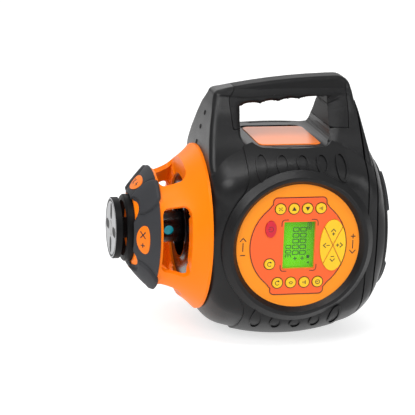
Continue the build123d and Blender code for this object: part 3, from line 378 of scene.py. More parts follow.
class Value:
    """An output socket that takes part in arithmetic: each operator adds a Math node."""

    def __init__(self, nodes_of, socket):
        self.nodes_of = nodes_of
        self.socket = socket

    def math(self, operation, first, second):
        return self.nodes_of.add("ShaderNodeMath", {"operation": operation}, {0: first, 1: second})

    __add__, __radd__ = operator_pair("ADD")
    __sub__, __rsub__ = operator_pair("SUBTRACT")
    __mul__, __rmul__ = operator_pair("MULTIPLY")
    __truediv__, __rtruediv__ = operator_pair("DIVIDE")


class NodeMaker:
    """Adds nodes to a tree and feeds their sockets."""

    def __init__(self, tree):
        self.tree = tree

    def feed(self, socket, value):
        if isinstance(value, Value):
            self.tree.links.new(value.socket, socket)
        else:
            socket.default_value = value

    def add(self, kind, settings=None, sockets=None, output=0):
        """A node of a kind, with its settings made first and then its sockets fed; gives one output."""
        node = self.tree.nodes.new(kind)
        for key, value in (settings or {}).items():
            setattr(node, key, value)
        for key, value in (sockets or {}).items():
            self.feed(find_socket(node.inputs, key), value)
        if not node.outputs:
            return None
        return Value(self, find_socket(node.outputs, output))


def rgba(colour, share=1.0):
    """A colour with full alpha, darkened to a share of itself."""
    return (colour[0] * share, colour[1] * share, colour[2] * share, 1.0)


class Finish(NodeMaker):
    """A material: one Principled shader and the nodes that feed it."""

    def __init__(self, name, **constants):
        self.material = bpy.data.materials.new(name)
        self.material.use_nodes = True
        super().__init__(self.material.node_tree)
        self.shader = self.tree.nodes["Principled BSDF"]
        self.place = self.add("ShaderNodeTexCoord", output="Object")
        for key, value in constants.items():
            self.set(key.replace("_", " ").title().replace("Ior", "IOR"), value)

    def set(self, socket, value):
        self.feed(self.shader.inputs[socket], value)

    def noise(self, scale, detail=2.0, place=None):
        sockets = {"Vector": place or self.place, "Scale": scale, "Detail": detail}
        return self.add("ShaderNodeTexNoise", None, sockets, "Fac")

    def cells(self, scale):
        sockets = {"Vector": self.place, "Scale": scale}
        return self.add("ShaderNodeTexVoronoi", {"feature": "F1"}, sockets, "Distance")

    def stretched(self, scale):
        """Object coordinates stretched along each axis."""
        return self.add("ShaderNodeMapping", None, {"Vector": self.place, "Scale": scale})

    def coordinates(self):
        """The three object coordinates, each as a value."""
        split = self.add("ShaderNodeSeparateXYZ", None, {"Vector": self.place}, "X")
        outputs = split.socket.node.outputs
        return [Value(self, outputs[axis]) for axis in ("X", "Y", "Z")]

    def mix(self, factor, first, second):
        return self.add("ShaderNodeMix", {"data_type": "RGBA"},
                        {"Factor_Float": factor, "A_Color": first, "B_Color": second}, "Result_Color")

    def tone(self, factor, colour, low, high=1.0):
        """Base colour that drifts between two shares of a colour."""
        self.set("Base Color", self.mix(factor, rgba(colour, low), rgba(colour, high)))

    def gloss(self, factor, roughness, spread):
        """Roughness that drifts upwards from a value."""
        self.set("Roughness", roughness + spread * factor)

    def lit(self, tint):
        """One tint for the base colour and for the light that the surface gives."""
        self.set("Base Color", tint)
        self.set("Emission Color", tint)

    def relief(self, height, distance):
        """Bump from a height, in metres at full strength."""
        sockets = {"Height": height, "Distance": distance, "Strength": 1.0}
        self.set("Normal", self.add("ShaderNodeBump", None, sockets))


# Mouldings: middle and spread of the roughness, scale and depth of the grain, darkest share of the tone,
# scale of the drift, and what is the same all over
key_moulding = (0.3, 0.1, 1500.0, 0.00003, 0.9, 160.0,
                {"specular_ior_level": 0.3, "coat_weight": 0.08, "coat_roughness": 0.2})
mouldings = {
    "housing_black": (0.34, 0.1, 1700.0, 0.00005, 0.78, 38.0, {"specular_ior_level": 0.3}),
    "cover_black": (0.36, 0.1, 1400.0, 0.00006, 0.78, 38.0, {"specular_ior_level": 0.28}),
    # The guard glows faintly in its own orange: painted light that lifts the shade inside the lantern
    "guard_orange": (0.36, 0.08, 520.0, 0.00003, 0.93, 24.0,
                     {"specular_ior_level": 0.14, "emission_strength": 0.1}),
    "plate_orange": (0.3, 0.06, 700.0, 0.00002, 0.94, 30.0, {"coat_weight": 0.3, "coat_roughness": 0.3}),
    "badge_orange": (0.38, 0.08, 900.0, 0.00003, 0.92, 90.0, {"specular_ior_level": 0.25}),
    "panel_orange": (0.36, 0.08, 900.0, 0.00003, 0.95, 28.0, {"specular_ior_level": 0.25}),
    "satin_grey": (0.4, 0.1, 1400.0, 0.00002, 0.85, 120.0, {"specular_ior_level": 0.3}),
    "key_yellow": key_moulding,
    "key_red": key_moulding,
}

# Smooth finishes: colour, lowest value and spread of the roughness, scale and detail of its drift,
# and what is the same all over
smooth_finishes = {
    "gloss_black": ((0.003, 0.003, 0.004), 0.16, 0.12, 70.0, 3.0,
                    {"specular_ior_level": 0.26, "coat_weight": 0.06, "coat_roughness": 0.06}),
    "matt_black": ((0.003, 0.003, 0.0034), 0.4, 0.15, 90.0, 3.0, {"specular_ior_level": 0.14}),
    "dark_glass": ((0.004, 0.005, 0.006), 0.06, 0.06, 200.0, 2.0,
                   {"specular_ior_level": 0.3, "coat_weight": 0.2, "coat_roughness": 0.03}),
    "window_clear": ((0.3, 0.6, 0.2), 0.03, 0.05, 60.0, 2.0, {"specular_ior_level": 0.2, "alpha": 0.04}),
    "prism_glass": ((0.85, 0.92, 0.95), 0.02, 0.03, 150.0, 2.0, {"transmission_weight": 0.9, "ior": 1.52}),
}

# Metals: colour, lowest roughness, and how the scratches are drawn out along the three axes
metals = {
    "zinc_steel": ((0.62, 0.62, 0.64), 0.28, (1.0, 1.0, 9.0)),
    "turned_brass": ((0.72, 0.5, 0.17), 0.22, (9.0, 1.0, 1.0)),
    "cast_alloy": ((0.6, 0.61, 0.63), 0.4, (1.0, 1.0, 1.0)),
}

# Colours that a user has no need to change
cap_grey = (0.40, 0.405, 0.415)
power_ink = (0.16, 0.005, 0.02)
web_orange = (0.80, 0.22, 0.02)
display_ink = (0.006, 0.05, 0.01)
display_dot = (0.02, 0.2, 0.02)
board_mask = (0.01, 0.10, 0.035)
board_copper = (0.03, 0.22, 0.08)


def moulding(name, colour):
    """Moulded surface: slow drifts of tone and gloss, and a fine grain in relief."""
    roughness, spread, grain, depth, darkest, drift_scale, constants = mouldings[name]
    finish = Finish(name, **constants)
    # A moulding with an emission strength glows in its own colour: painted light, used on the guard to lift its
    # shade
    if "emission_strength" in constants:
        finish.set("Emission Color", rgba(colour))
    drift = finish.noise(drift_scale, detail=3.0)
    finish.tone(drift, colour, darkest)
    finish.gloss(drift, roughness - spread / 2, spread)
    finish.relief(finish.noise(grain), depth)
    return finish.material


def smooth_finish(kind, name=None):
    """Polished, flat or clear surface of one colour, whose gloss drifts slowly."""
    colour, roughness, spread, scale, detail, constants = smooth_finishes[kind]
    finish = Finish(name or kind, base_color=rgba(colour), **constants)
    finish.gloss(finish.noise(scale, detail), roughness, spread)
    return finish.material


def metal(name):
    """Turned or plated metal with fine scratches along one axis."""
    colour, roughness, scratch = metals[name]
    finish = Finish(name, metallic=1.0)
    lines = finish.noise(scale=60.0, detail=4.0, place=finish.stretched(scratch))
    finish.tone(lines, colour, low=0.82)
    finish.gloss(lines, roughness, spread=0.18)
    finish.relief(lines, distance=0.00003)
    return finish.material


def grip_black(colours):
    """Soft-touch moulding of the handle, with a leathery stipple."""
    finish = Finish("grip_black", specular_ior_level=0.24)
    drift = finish.noise(scale=30.0, detail=3.0)
    finish.tone(drift, colours.grip, low=0.8)
    finish.gloss(drift, roughness=0.46, spread=0.1)
    finish.relief(0.6 * finish.cells(scale=1100.0) + 0.4 * finish.noise(scale=2400.0), distance=0.00008)
    return finish.material


def bumper_rubber(colours):
    """Matt rubber with a dusty bloom."""
    finish = Finish("bumper_rubber", specular_ior_level=0.26)
    bloom = finish.noise(scale=55.0, detail=4.0)
    finish.tone(bloom, colours.bumper, low=0.8, high=1.12)
    finish.gloss(bloom, roughness=0.52, spread=0.16)
    finish.relief(finish.noise(scale=1300.0, detail=3.0), distance=0.00008)
    return finish.material


def keypad_film(colours):
    """Textured polyester film, printed red-orange."""
    finish = Finish("keypad_film", specular_ior_level=0.25, coat_weight=0.06, coat_roughness=0.3)
    drift = finish.noise(scale=26.0)
    finish.tone(drift, colours.film, low=0.94)
    finish.gloss(drift, roughness=0.34, spread=0.08)
    finish.relief(finish.cells(scale=2600.0), distance=0.00003)
    return finish.material


def display_green(colours):
    """Lit display with painted shade that darkens it towards its top and its base end, and a fine dot grid."""
    finish = Finish("display_green", roughness=0.5, specular_ior_level=0.1, emission_strength=0.15)
    low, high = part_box("lcd_module")
    x, _, z = finish.coordinates()
    across = (x - low.x) / (high.x - low.x)
    up = (z - low.z) / (high.z - low.z)
    # Painted shade: the display darkens towards its top and its base end
    fade = 0.1 + 0.5 * across + 0.35 * up
    dots = finish.add("ShaderNodeTexChecker", None, {"Vector": finish.place, "Scale": 1800.0}, "Fac")
    glow_with_painted_shade = finish.mix(fade, rgba(colours.display), rgba(colours.display, share=0.36))
    finish.lit(finish.mix(0.06 * dots, glow_with_painted_shade, rgba(display_dot)))
    return finish.material


def ink(name, colour):
    """Printed ink, slightly uneven."""
    finish = Finish(name)
    drift = finish.noise(scale=300.0)
    finish.tone(drift, colour, low=0.8)
    finish.gloss(drift, roughness=0.45, spread=0.1)
    return finish.material


def aperture_blue(colours):
    """Coated window that the beam leaves by; it glows in its coating's colour, which is painted light."""
    finish = Finish("aperture_blue", specular_ior_level=0.3, coat_weight=0.1, coat_roughness=0.04,
                    emission_strength=0.32)
    sheen = finish.noise(scale=240.0)
    finish.lit(finish.mix(sheen, rgba(colours.aperture, share=0.85), rgba(colours.aperture)))
    finish.gloss(sheen, roughness=0.1, spread=0.05)
    return finish.material


def board_green():
    """Solder mask over copper runs."""
    finish = Finish("board_green", coat_weight=0.3)
    runs = finish.noise(scale=240.0, detail=1.0, place=finish.stretched((1.0, 1.0, 6.0)))
    finish.set("Base Color", finish.mix(runs, rgba(board_mask), rgba(board_copper)))
    finish.gloss(runs, roughness=0.3, spread=0.2)
    return finish.material


# Meshes and pieces
def link(name, data):
    """A new object in the scene, at the origin."""
    piece = bpy.data.objects.new(name, data)
    bpy.context.scene.collection.objects.link(piece)
    return piece


def applied(piece):
    """The piece with its modifiers turned into plain mesh."""
    depsgraph = bpy.context.evaluated_depsgraph_get()
    evaluated = piece.evaluated_get(depsgraph)
    mesh = bpy.data.meshes.new_from_object(evaluated, preserve_all_data_layers=True, depsgraph=depsgraph)
    mesh.name = piece.name
    piece.modifiers.clear()
    piece.data = mesh
    return piece


def finish_piece(piece, material, node, *replaced):
    """Give a piece its material and the body of a CAD node, and hide the nodes that it stands for."""
    body, slot = node_body[node], node_slot[node]
    piece.data.materials.clear()
    piece.data.materials.append(material)
    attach(piece, body)
    if replaced:
        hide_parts(*replaced)
    return piece


def merged_copy(node):
    """A CAD node's mesh with its loose triangles joined."""
    form = bmesh.new()
    form.from_mesh(nodes[node].data)
    bmesh.ops.remove_doubles(form, verts=form.verts, dist=merge_distance)
    return form


def mesh_of(form, name):
    """A form as a mesh."""
    mesh = bpy.data.meshes.new(name)
    form.to_mesh(mesh)
    form.free()
    return mesh


def shade(mesh, angle):
    """Smooth shading that breaks at edges sharper than an angle."""
    mesh.shade_smooth()
    mesh.set_sharp_from_angle(angle=angle)


def dress(node, material, shape=None):
    """A smooth-shaded copy of a CAD node, which stands for the node; a shape function may model it first."""
    form = merged_copy(node)
    if shape:
        shape(form)
    mesh = mesh_of(form, node + "_skin")
    if "custom_normal" in mesh.attributes:
        mesh.attributes.remove(mesh.attributes["custom_normal"])
    shade(mesh, crease_angle)
    piece = link(node + "_skin", mesh)
    even = piece.modifiers.new("Even shading", "WEIGHTED_NORMAL")
    even.keep_sharp = True
    even.weight = shading_weight
    applied(piece)
    return finish_piece(piece, material, node, node)


def paint(node, material):
    """A CAD node that keeps its shape and gets a better material."""
    for material_slot in nodes[node].material_slots:
        material_slot.material = material


class Print:
    """Thin marks on a face, drawn in metres across and up the face."""

    def __init__(self, place, height):
        self.place = place
        self.height = height
        self.form = bmesh.new()

    def corners(self, points):
        """Corners of an outline on the face and above it."""
        low = [self.form.verts.new(self.place(x, y, 0.0)) for x, y in points]
        high = [self.form.verts.new(self.place(x, y, self.height)) for x, y in points]
        return low, high

    def fill(self, points):
        """A filled outline, given anticlockwise."""
        low, high = self.corners(points)
        self.form.faces.new(high)
        self.form.faces.new(low[::-1])
        for here in range(len(points)):
            there = (here + 1) % len(points)
            self.form.faces.new((low[here], low[there], high[there], high[here]))

    def line(self, points, width, closed=False):
        """A line of even width, with mitred corners."""
        left_low, left_high = self.corners(shifted(points, width / 2, closed))
        right_low, right_high = self.corners(shifted(points, -width / 2, closed))
        strands = (left_low, left_high, right_high, right_low)
        count = len(points)
        for here in range(count if closed else count - 1):
            there = (here + 1) % count
            for one, other in zip(strands, strands[1:] + strands[:1]):
                self.form.faces.new((one[here], other[here], other[there], one[there]))
        if not closed:
            self.form.faces.new([strand[0] for strand in reversed(strands)])
            self.form.faces.new([strand[-1] for strand in strands])

    def arc(self, x, y, radius, start, end, width, steps=24):
        """A line along part of a circle, between two angles in degrees."""
        closed = end - start >= 360
        count = steps if closed else steps + 1
        turns = [radians(start + (end - start) * step / steps) for step in range(count)]
        self.line([(x + radius * cos(turn), y + radius * sin(turn)) for turn in turns], width, closed)

    def disc(self, x, y, radius, steps=20):
        """A filled circle."""
        self.fill(circle(x, y, radius, steps))

    def finished(self, name, material, node):
        """The marks as a piece that moves with a node."""
        bmesh.ops.recalc_face_normals(self.form, faces=self.form.faces)
        return finish_piece(link(name, mesh_of(self.form, name)), material, node)


def circle(x, y, radius, steps):
    """Points round a circle."""
    turns = [tau * step / steps for step in range(steps)]
    return [(x + radius * cos(turn), y + radius * sin(turn)) for turn in turns]


def unit(start, end):
    """Direction from one point to another."""
    dx, dy = end[0] - start[0], end[1] - start[1]
    length = hypot(dx, dy)
    return (dx / length, dy / length)


def panel_place(face, x, z, lying=False):
    """Places on a face that looks along -Y, from a centre; lying marks read from below to above."""
    def place(across, up, height):
        if lying:
            across, up = -up, across
        return Vector((x + across, face - height, axis_height + z + up))

    return place


def cap_place(across, up, height):
    """Places on the front of the cap, seen from the head end."""
    return Vector((cap_front_x - height, -across, axis_height + up))


def middle(node):
    """Centre of a node across and up the panel, from the laser axis."""
    low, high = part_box(node)
    return (low.x + high.x) / 2, (low.z + high.z) / 2 - axis_height


key_middles = {name: middle(name) for name in key_names}


def front_loops(node):
    """Closed outlines of a node's front face, in metres across and up the panel."""
    form = merged_copy(node)
    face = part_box(node)[0].y
    front = {f for f in form.faces if all(abs(v.co.y - face) < face_distance for v in f.verts)}
    follows = {}
    for f in front:
        for loop in f.loops:
            if sum(other in front for other in loop.edge.link_faces) == 1:
                follows[loop.vert] = loop.link_loop_next.vert
    loops = []
    while follows:
        start, here = follows.popitem()
        outline = [start]
        while here is not start:
            outline.append(here)
            here = follows.pop(here)
        loops.append([(v.co.x, v.co.z - axis_height) for v in outline])
    form.free()
    return loops


def shifted(points, distance, closed=True):
    """A line moved to its left by a distance, with mitred corners."""
    moved = []
    last = len(points) - 1
    for here, (x, y) in enumerate(points):
        before = points[here - 1] if here or closed else None
        after = points[(here + 1) % len(points)] if here < last or closed else None
        run_in = unit(before, (x, y)) if before else unit((x, y), after)
        run_out = unit((x, y), after) if after else run_in
        normal = (-(run_in[1] + run_out[1]) / 2, (run_in[0] + run_out[0]) / 2)
        reach = distance / max(mitre_limit, normal[0] ** 2 + normal[1] ** 2)
        moved.append((x + normal[0] * reach, y + normal[1] * reach))
    return moved


# Symbols, drawn about a centre at a size
chevron_tips = ((-1.0, -0.6), (0.0, 0.5), (1.0, -0.6))
triangle_tips = ((-1.0, -0.8), (1.0, -0.8), (0.0, 1.0))


def turned(tips, x, y, size, turn):
    """Corners of a symbol about a centre, at a size and turned."""
    spin = Matrix.Rotation(radians(turn), 2)
    corners = [spin @ Vector((size * across, size * up)) for across, up in tips]
    return [(x + corner.x, y + corner.y) for corner in corners]


def draw_plus(marks, x, y, size, width):
    """Level bar with half an upright bar on each side of it."""
    draw_minus(marks, x, y, size, width)
    marks.line([(x, y - size), (x, y - width / 2)], width)
    marks.line([(x, y + width / 2), (x, y + size)], width)


def draw_minus(marks, x, y, size, width):
    """Level bar."""
    marks.line([(x - size, y), (x + size, y)], width)


def draw_chevron(marks, x, y, size, width, turn=0.0):
    """Open arrowhead."""
    marks.line(turned(chevron_tips, x, y, size, turn), width)


def draw_triangle(marks, x, y, size, turn=0.0):
    """Filled arrowhead."""
    marks.fill(turned(triangle_tips, x, y, size, turn))


def draw_turn(marks, x, y, size, width):
    """Open circle with an arrowhead."""
    marks.arc(x, y, size, -30, 230, width)
    head = radians(-38)
    draw_triangle(marks, x + size * cos(head), y + size * sin(head), 0.55 * size, 150.0)


def draw_slope(marks, x, y, size, width):
    """Slanted line between two dots."""
    marks.line([(x - 0.75 * size, y - size), (x + 0.75 * size, y + size)], width)
    marks.disc(x - 0.6 * size, y + 0.55 * size, 0.28 * size)
    marks.disc(x + 0.6 * size, y - 0.55 * size, 0.28 * size)


def draw_fan(marks, x, y, size, width):
    """Two open arrowheads that point apart."""
    draw_chevron(marks, x, y + 0.5 * size, 0.7 * size, width)
    draw_chevron(marks, x, y - 0.5 * size, 0.7 * size, width, 180.0)


def draw_steps(marks, x, y, size, width):
    """Three bars, one above the other."""
    for step in (-1, 0, 1):
        reach = size * (0.9 - 0.25 * (step + 1))
        marks.line([(x - reach, y + 0.65 * step * size), (x + reach, y + 0.65 * step * size)], width)


def draw_clock(marks, x, y, size, width):
    """Circle with two hands."""
    marks.arc(x, y, size, 0, 360, width)
    marks.line([(x, y + 0.6 * size), (x, y), (x + 0.45 * size, y)], width)


def draw_power(marks, x, y, size, width):
    """Broken circle with an upright bar."""
    marks.arc(x, y, size, 125, 415, width)
    marks.line([(x, y + 0.15 * size), (x, y + 1.25 * size)], width)


key_symbols = {
    "key_top_1": draw_slope,
    "key_top_4": draw_steps,
    "key_bottom_1": draw_turn,
    "key_bottom_2": draw_fan,
    "key_bottom_3": draw_steps,
    "key_bottom_4": draw_clock,
    "key_side": draw_turn,
    "key_power": draw_power,
}
segment_runs = {
    "a": ((0, 1), (1, 1)),
    "b": ((1, 1), (1, 0.5)),
    "c": ((1, 0.5), (1, 0)),
    "d": ((0, 0), (1, 0)),
    "e": ((0, 0), (0, 0.5)),
    "f": ((0, 0.5), (0, 1)),
    "g": ((0, 0.5), (1, 0.5)),
}
digit_segments = {"0": "abcdef", "1": "bc", "3": "abcdg"}


def draw_digits(marks, text, left, bottom, width, height, pitch, stroke):
    """Seven-segment digits, from the left; a plus sign takes a digit's place."""
    gap = stroke * segment_gap
    for place, sign in enumerate(text):
        x = left + place * pitch
        if sign == "+":
            draw_plus(marks, x + width / 2, bottom + height / 2, width / 2, stroke)
            continue
        for segment in digit_segments[sign]:
            (x0, y0), (x1, y1) = segment_runs[segment]
            start = (x + x0 * width, bottom + y0 * height)
            end = (x + x1 * width, bottom + y1 * height)
            run = unit(start, end)
            marks.line([(start[0] + run[0] * gap, start[1] + run[1] * gap),
                        (end[0] - run[0] * gap, end[1] - run[1] * gap)], stroke)


# Geometry Nodes
class GeometryMaker(NodeMaker):
    """A Geometry Nodes tree with named inputs, used as a modifier."""

    def __init__(self, name):
        super().__init__(bpy.data.node_groups.new(name, "GeometryNodeTree"))
        self.tree.interface.new_socket("Geometry", in_out="OUTPUT", socket_type="NodeSocketGeometry")
        self.tree.interface.new_socket("Geometry", in_out="INPUT", socket_type="NodeSocketGeometry")
        self.values = {}
        self.group_input = self.tree.nodes.new("NodeGroupInput")

    def geometry(self):
        return Value(self, self.group_input.outputs["Geometry"])

    def input(self, name, kind, value):
        """A named input, with the value that the modifier gives it."""
        socket = self.tree.interface.new_socket(name, in_out="INPUT", socket_type=kind)
        self.values[socket.identifier] = value
        return Value(self, self.group_input.outputs[name])

    def length(self, name, value):
        return self.input(name, "NodeSocketFloat", value)

    def close(self, geometry, material):
        """End the tree: realized instances with a material."""
        real = self.add("GeometryNodeRealizeInstances", None, {"Geometry": geometry})
        finish = self.input("Material", "NodeSocketMaterial", material)
        painted = self.add("GeometryNodeSetMaterial", None, {"Geometry": real, "Material": finish})
        self.add("NodeGroupOutput", None, {"Geometry": painted})

    def run(self, name, mesh):
        """A piece with this tree's result as plain mesh."""
        piece = link(name, mesh)
        modifier = piece.modifiers.new(self.tree.name, "NODES")
        modifier.node_group = self.tree
        for identifier, value in self.values.items():
            modifier[identifier] = value
        return applied(piece)


def points_mesh(name, points, normals):
    """Loose points with a direction each, for instances to stand on."""
    mesh = bpy.data.meshes.new(name)
    mesh.from_pydata(points, [], [])
    facing = mesh.attributes.new("facing", "FLOAT_VECTOR", "POINT")
    facing.data.foreach_set("vector", [part for normal in normals for part in normal])
    return mesh


def loops_mesh(name, loops, place):
    """Closed loops of edges on a face."""
    mesh = bpy.data.meshes.new(name)
    points, edges = [], []
    for loop in loops:
        first = len(points)
        points += [place(x, y, 0.0) for x, y in loop]
        edges += [(first + here, first + (here + 1) % len(loop)) for here in range(len(loop))]
    mesh.from_pydata(points, edges, [])
    return mesh


def printed_lines(name, loops, place, width, height, material):
    """Lines of ink that follow closed loops: a flat strip swept along each one."""
    tree = GeometryMaker(name + "_sweep")
    path = tree.add("GeometryNodeMeshToCurve", None, {"Mesh": tree.geometry()})
    facing = {"Curve": path, "Normal": (0.0, -1.0, 0.0)}
    path = tree.add("GeometryNodeSetCurveNormal", {"mode": "FREE"}, facing)
    across = tree.length("Width", width)
    tall = tree.length("Height", height)
    strip = tree.add("GeometryNodeCurvePrimitiveQuadrilateral", None, {"Width": tall, "Height": across})
    sweep = {"Curve": path, "Profile Curve": strip, "Fill Caps": True}
    tree.close(tree.add("GeometryNodeCurveToMesh", None, sweep), material)
    return tree.run(name, loops_mesh(name, loops, place))


def set_on_points(name, build, points, normals, material):
    """One small fitting set on every point, along the point's direction."""
    tree = GeometryMaker(name + "_set")
    fitting = build(tree)
    facing = tree.add("GeometryNodeInputNamedAttribute", {"data_type": "FLOAT_VECTOR"}, {"Name": "facing"},
                      "Attribute")
    turn = tree.add("FunctionNodeAlignRotationToVector", {"axis": "Z"}, {"Vector": facing})
    copies = tree.add("GeometryNodeInstanceOnPoints", None,
                      {"Points": tree.geometry(), "Instance": fitting, "Rotation": turn})
    tree.close(copies, material)
    return tree.run(name, points_mesh(name, points, normals))


def settings_of(context):
    """The laser level's settings."""
    return context.scene.laser_level


def smooth_step(low, high, value):
    """Soft ramp from 0 to 1 between two values."""
    share = min(1.0, max(0.0, (value - low) / (high - low)))
    return share * share * (3.0 - 2.0 * share)


def level(table, value):
    """Value of a table of (place, value) pairs at a place between them."""
    for (low, first), (high, second) in zip(table, table[1:]):
        if value <= high:
            return first + (second - first) * max(0.0, value - low) / (high - low)
    return table[-1][1]


def split_edges(form, wanted, longest):
    """Cut the edges that are wanted until none of them is long."""
    for _ in range(cutting_rounds):
        long_edges = [edge for edge in form.edges if edge.calc_length() > longest and wanted(edge)]
        if not long_edges:
            break
        bmesh.ops.subdivide_edges(form, edges=long_edges, cuts=1)
        bmesh.ops.triangulate(form, faces=[face for face in form.faces if len(face.verts) > 3])


def circle_through(first, second, third):
    """Centre and radius of the circle through three points."""
    one, two = second - first, third - first
    area = 2 * (one.x * two.y - one.y * two.x)
    across = (two.y * one.length_squared - one.y * two.length_squared) / area
    up = (one.x * two.length_squared - two.x * one.length_squared) / area
    return first + Vector((across, up)), hypot(across, up)


def arc_corners(start, halfway, end, rounding, steps=7):
    """Corners along an arc through three points, the last with its rounding."""
    centre, radius = circle_through(Vector(start), Vector(halfway), Vector(end))
    first, last = (atan2(y - centre.y, x - centre.x) for x, y in (start, end))
    turn = (last - first + pi) % tau - pi
    corners = []
    for step in range(1, steps):
        angle = first + turn * step / steps
        corners.append((centre.x + radius * cos(angle), centre.y + radius * sin(angle), 0.0))
    return corners + [(*end, rounding)]


def rounded_outline(corners, steps=10):
    """Closed outline of corners, each with its rounding."""
    outline = []
    for index, (x, y, rounding) in enumerate(corners):
        corner = Vector((x, y))
        if not rounding:
            outline.append(corner)
            continue
        before = (Vector(corners[index - 1][:2]) - corner).normalized()
        after = (Vector(corners[(index + 1) % len(corners)][:2]) - corner).normalized()
        half = before.angle(after) / 2
        middle = corner + (before + after).normalized() * (rounding / sin(half))
        start = corner + before * (rounding * cos(half) / sin(half)) - middle
        end = corner + after * (rounding * cos(half) / sin(half)) - middle
        for step in range(steps + 1):
            spoke = start.lerp(end, step / steps)
            outline.append(middle + spoke.normalized() * rounding)
    return outline


def outline_reaches(outline):
    """Distance from the middle of the bend to a closed outline, all the way round."""
    centre = Vector(bend_middle)
    spokes = [point - centre for point in outline]
    reaches = []
    for step in range(bend_steps):
        angle = tau * step / bend_steps
        toward = Vector((cos(angle), sin(angle)))
        for here, there in zip(spokes, spokes[1:] + spokes[:1]):
            run = there - here
            area = toward.x * run.y - toward.y * run.x
            if abs(area) < parallel_area:
                continue
            away = (here.x * run.y - here.y * run.x) / area
            share = (here.x * toward.y - here.y * toward.x) / area
            if away > 0 and -share_slack <= share <= 1 + share_slack:
                reaches.append(away)
                break
    return reaches


class HandleBend:
    """Bends the solid's straight fins, grip and hand opening to the arcs of the real handle."""

    def __init__(self):
        arcs = [(*handle_arcs[0][0], 0.0)]
        for arc in handle_arcs:
            arcs += arc_corners(*arc)
        self.outer = outline_reaches(rounded_outline(cad_handle))
        self.inner = outline_reaches(rounded_outline(cad_opening))
        self.new_outer = outline_reaches(rounded_outline(arcs))
        self.new_inner = outline_reaches(rounded_outline(opening))

    def place(self, point):
        """Where a point of the solid goes."""
        x, up = point.x * millimetres, (point.z - axis_height) * millimetres
        if up < bend_foot[0]:
            return point.copy()
        across, rise = x - bend_middle[0], up - bend_middle[1]
        away = hypot(across, rise)
        turn = (atan2(rise, across) % tau) / tau * bend_steps
        index = int(turn) % bend_steps
        after, share = (index + 1) % bend_steps, turn - int(turn)

        def at(reaches):
            return reaches[index] * (1 - share) + reaches[after] * share

        inner, outer = at(self.inner), at(self.outer)
        near_inner = max(0.0, 1.0 - abs(away - inner) / bend_inner_fade)
        if away < outer:
            near_outer = max(0.0, (away - inner) / (outer - inner))
        else:
            near_outer = max(0.0, 1.0 - (away - outer) / bend_outer_fade)
        shift = (at(self.new_inner) - inner) * near_inner + (at(self.new_outer) - outer) * near_outer
        shift *= smooth_step(*bend_foot, up)
        new_x, new_up = x + shift * across / away, up + shift * rise / away
        slim = level(arch, new_up) / level(cad_arch, up)
        slim = 1.0 + (slim - 1.0) * smooth_step(bend_foot[1], bend_foot[1] + slim_fade, up)
        return Vector((new_x / millimetres, point.y * slim, new_up / millimetres + axis_height))

    def bend(self, form):
        """Bend a piece of the handle, cut finely enough for its arcs."""
        lowest = axis_height + bend_foot[0] / millimetres
        split_edges(form, lambda edge: max(vert.co.z for vert in edge.verts) > lowest, bend_edge)
        for vert in form.verts:
            vert.co = self.place(vert.co)
        form.normal_update()


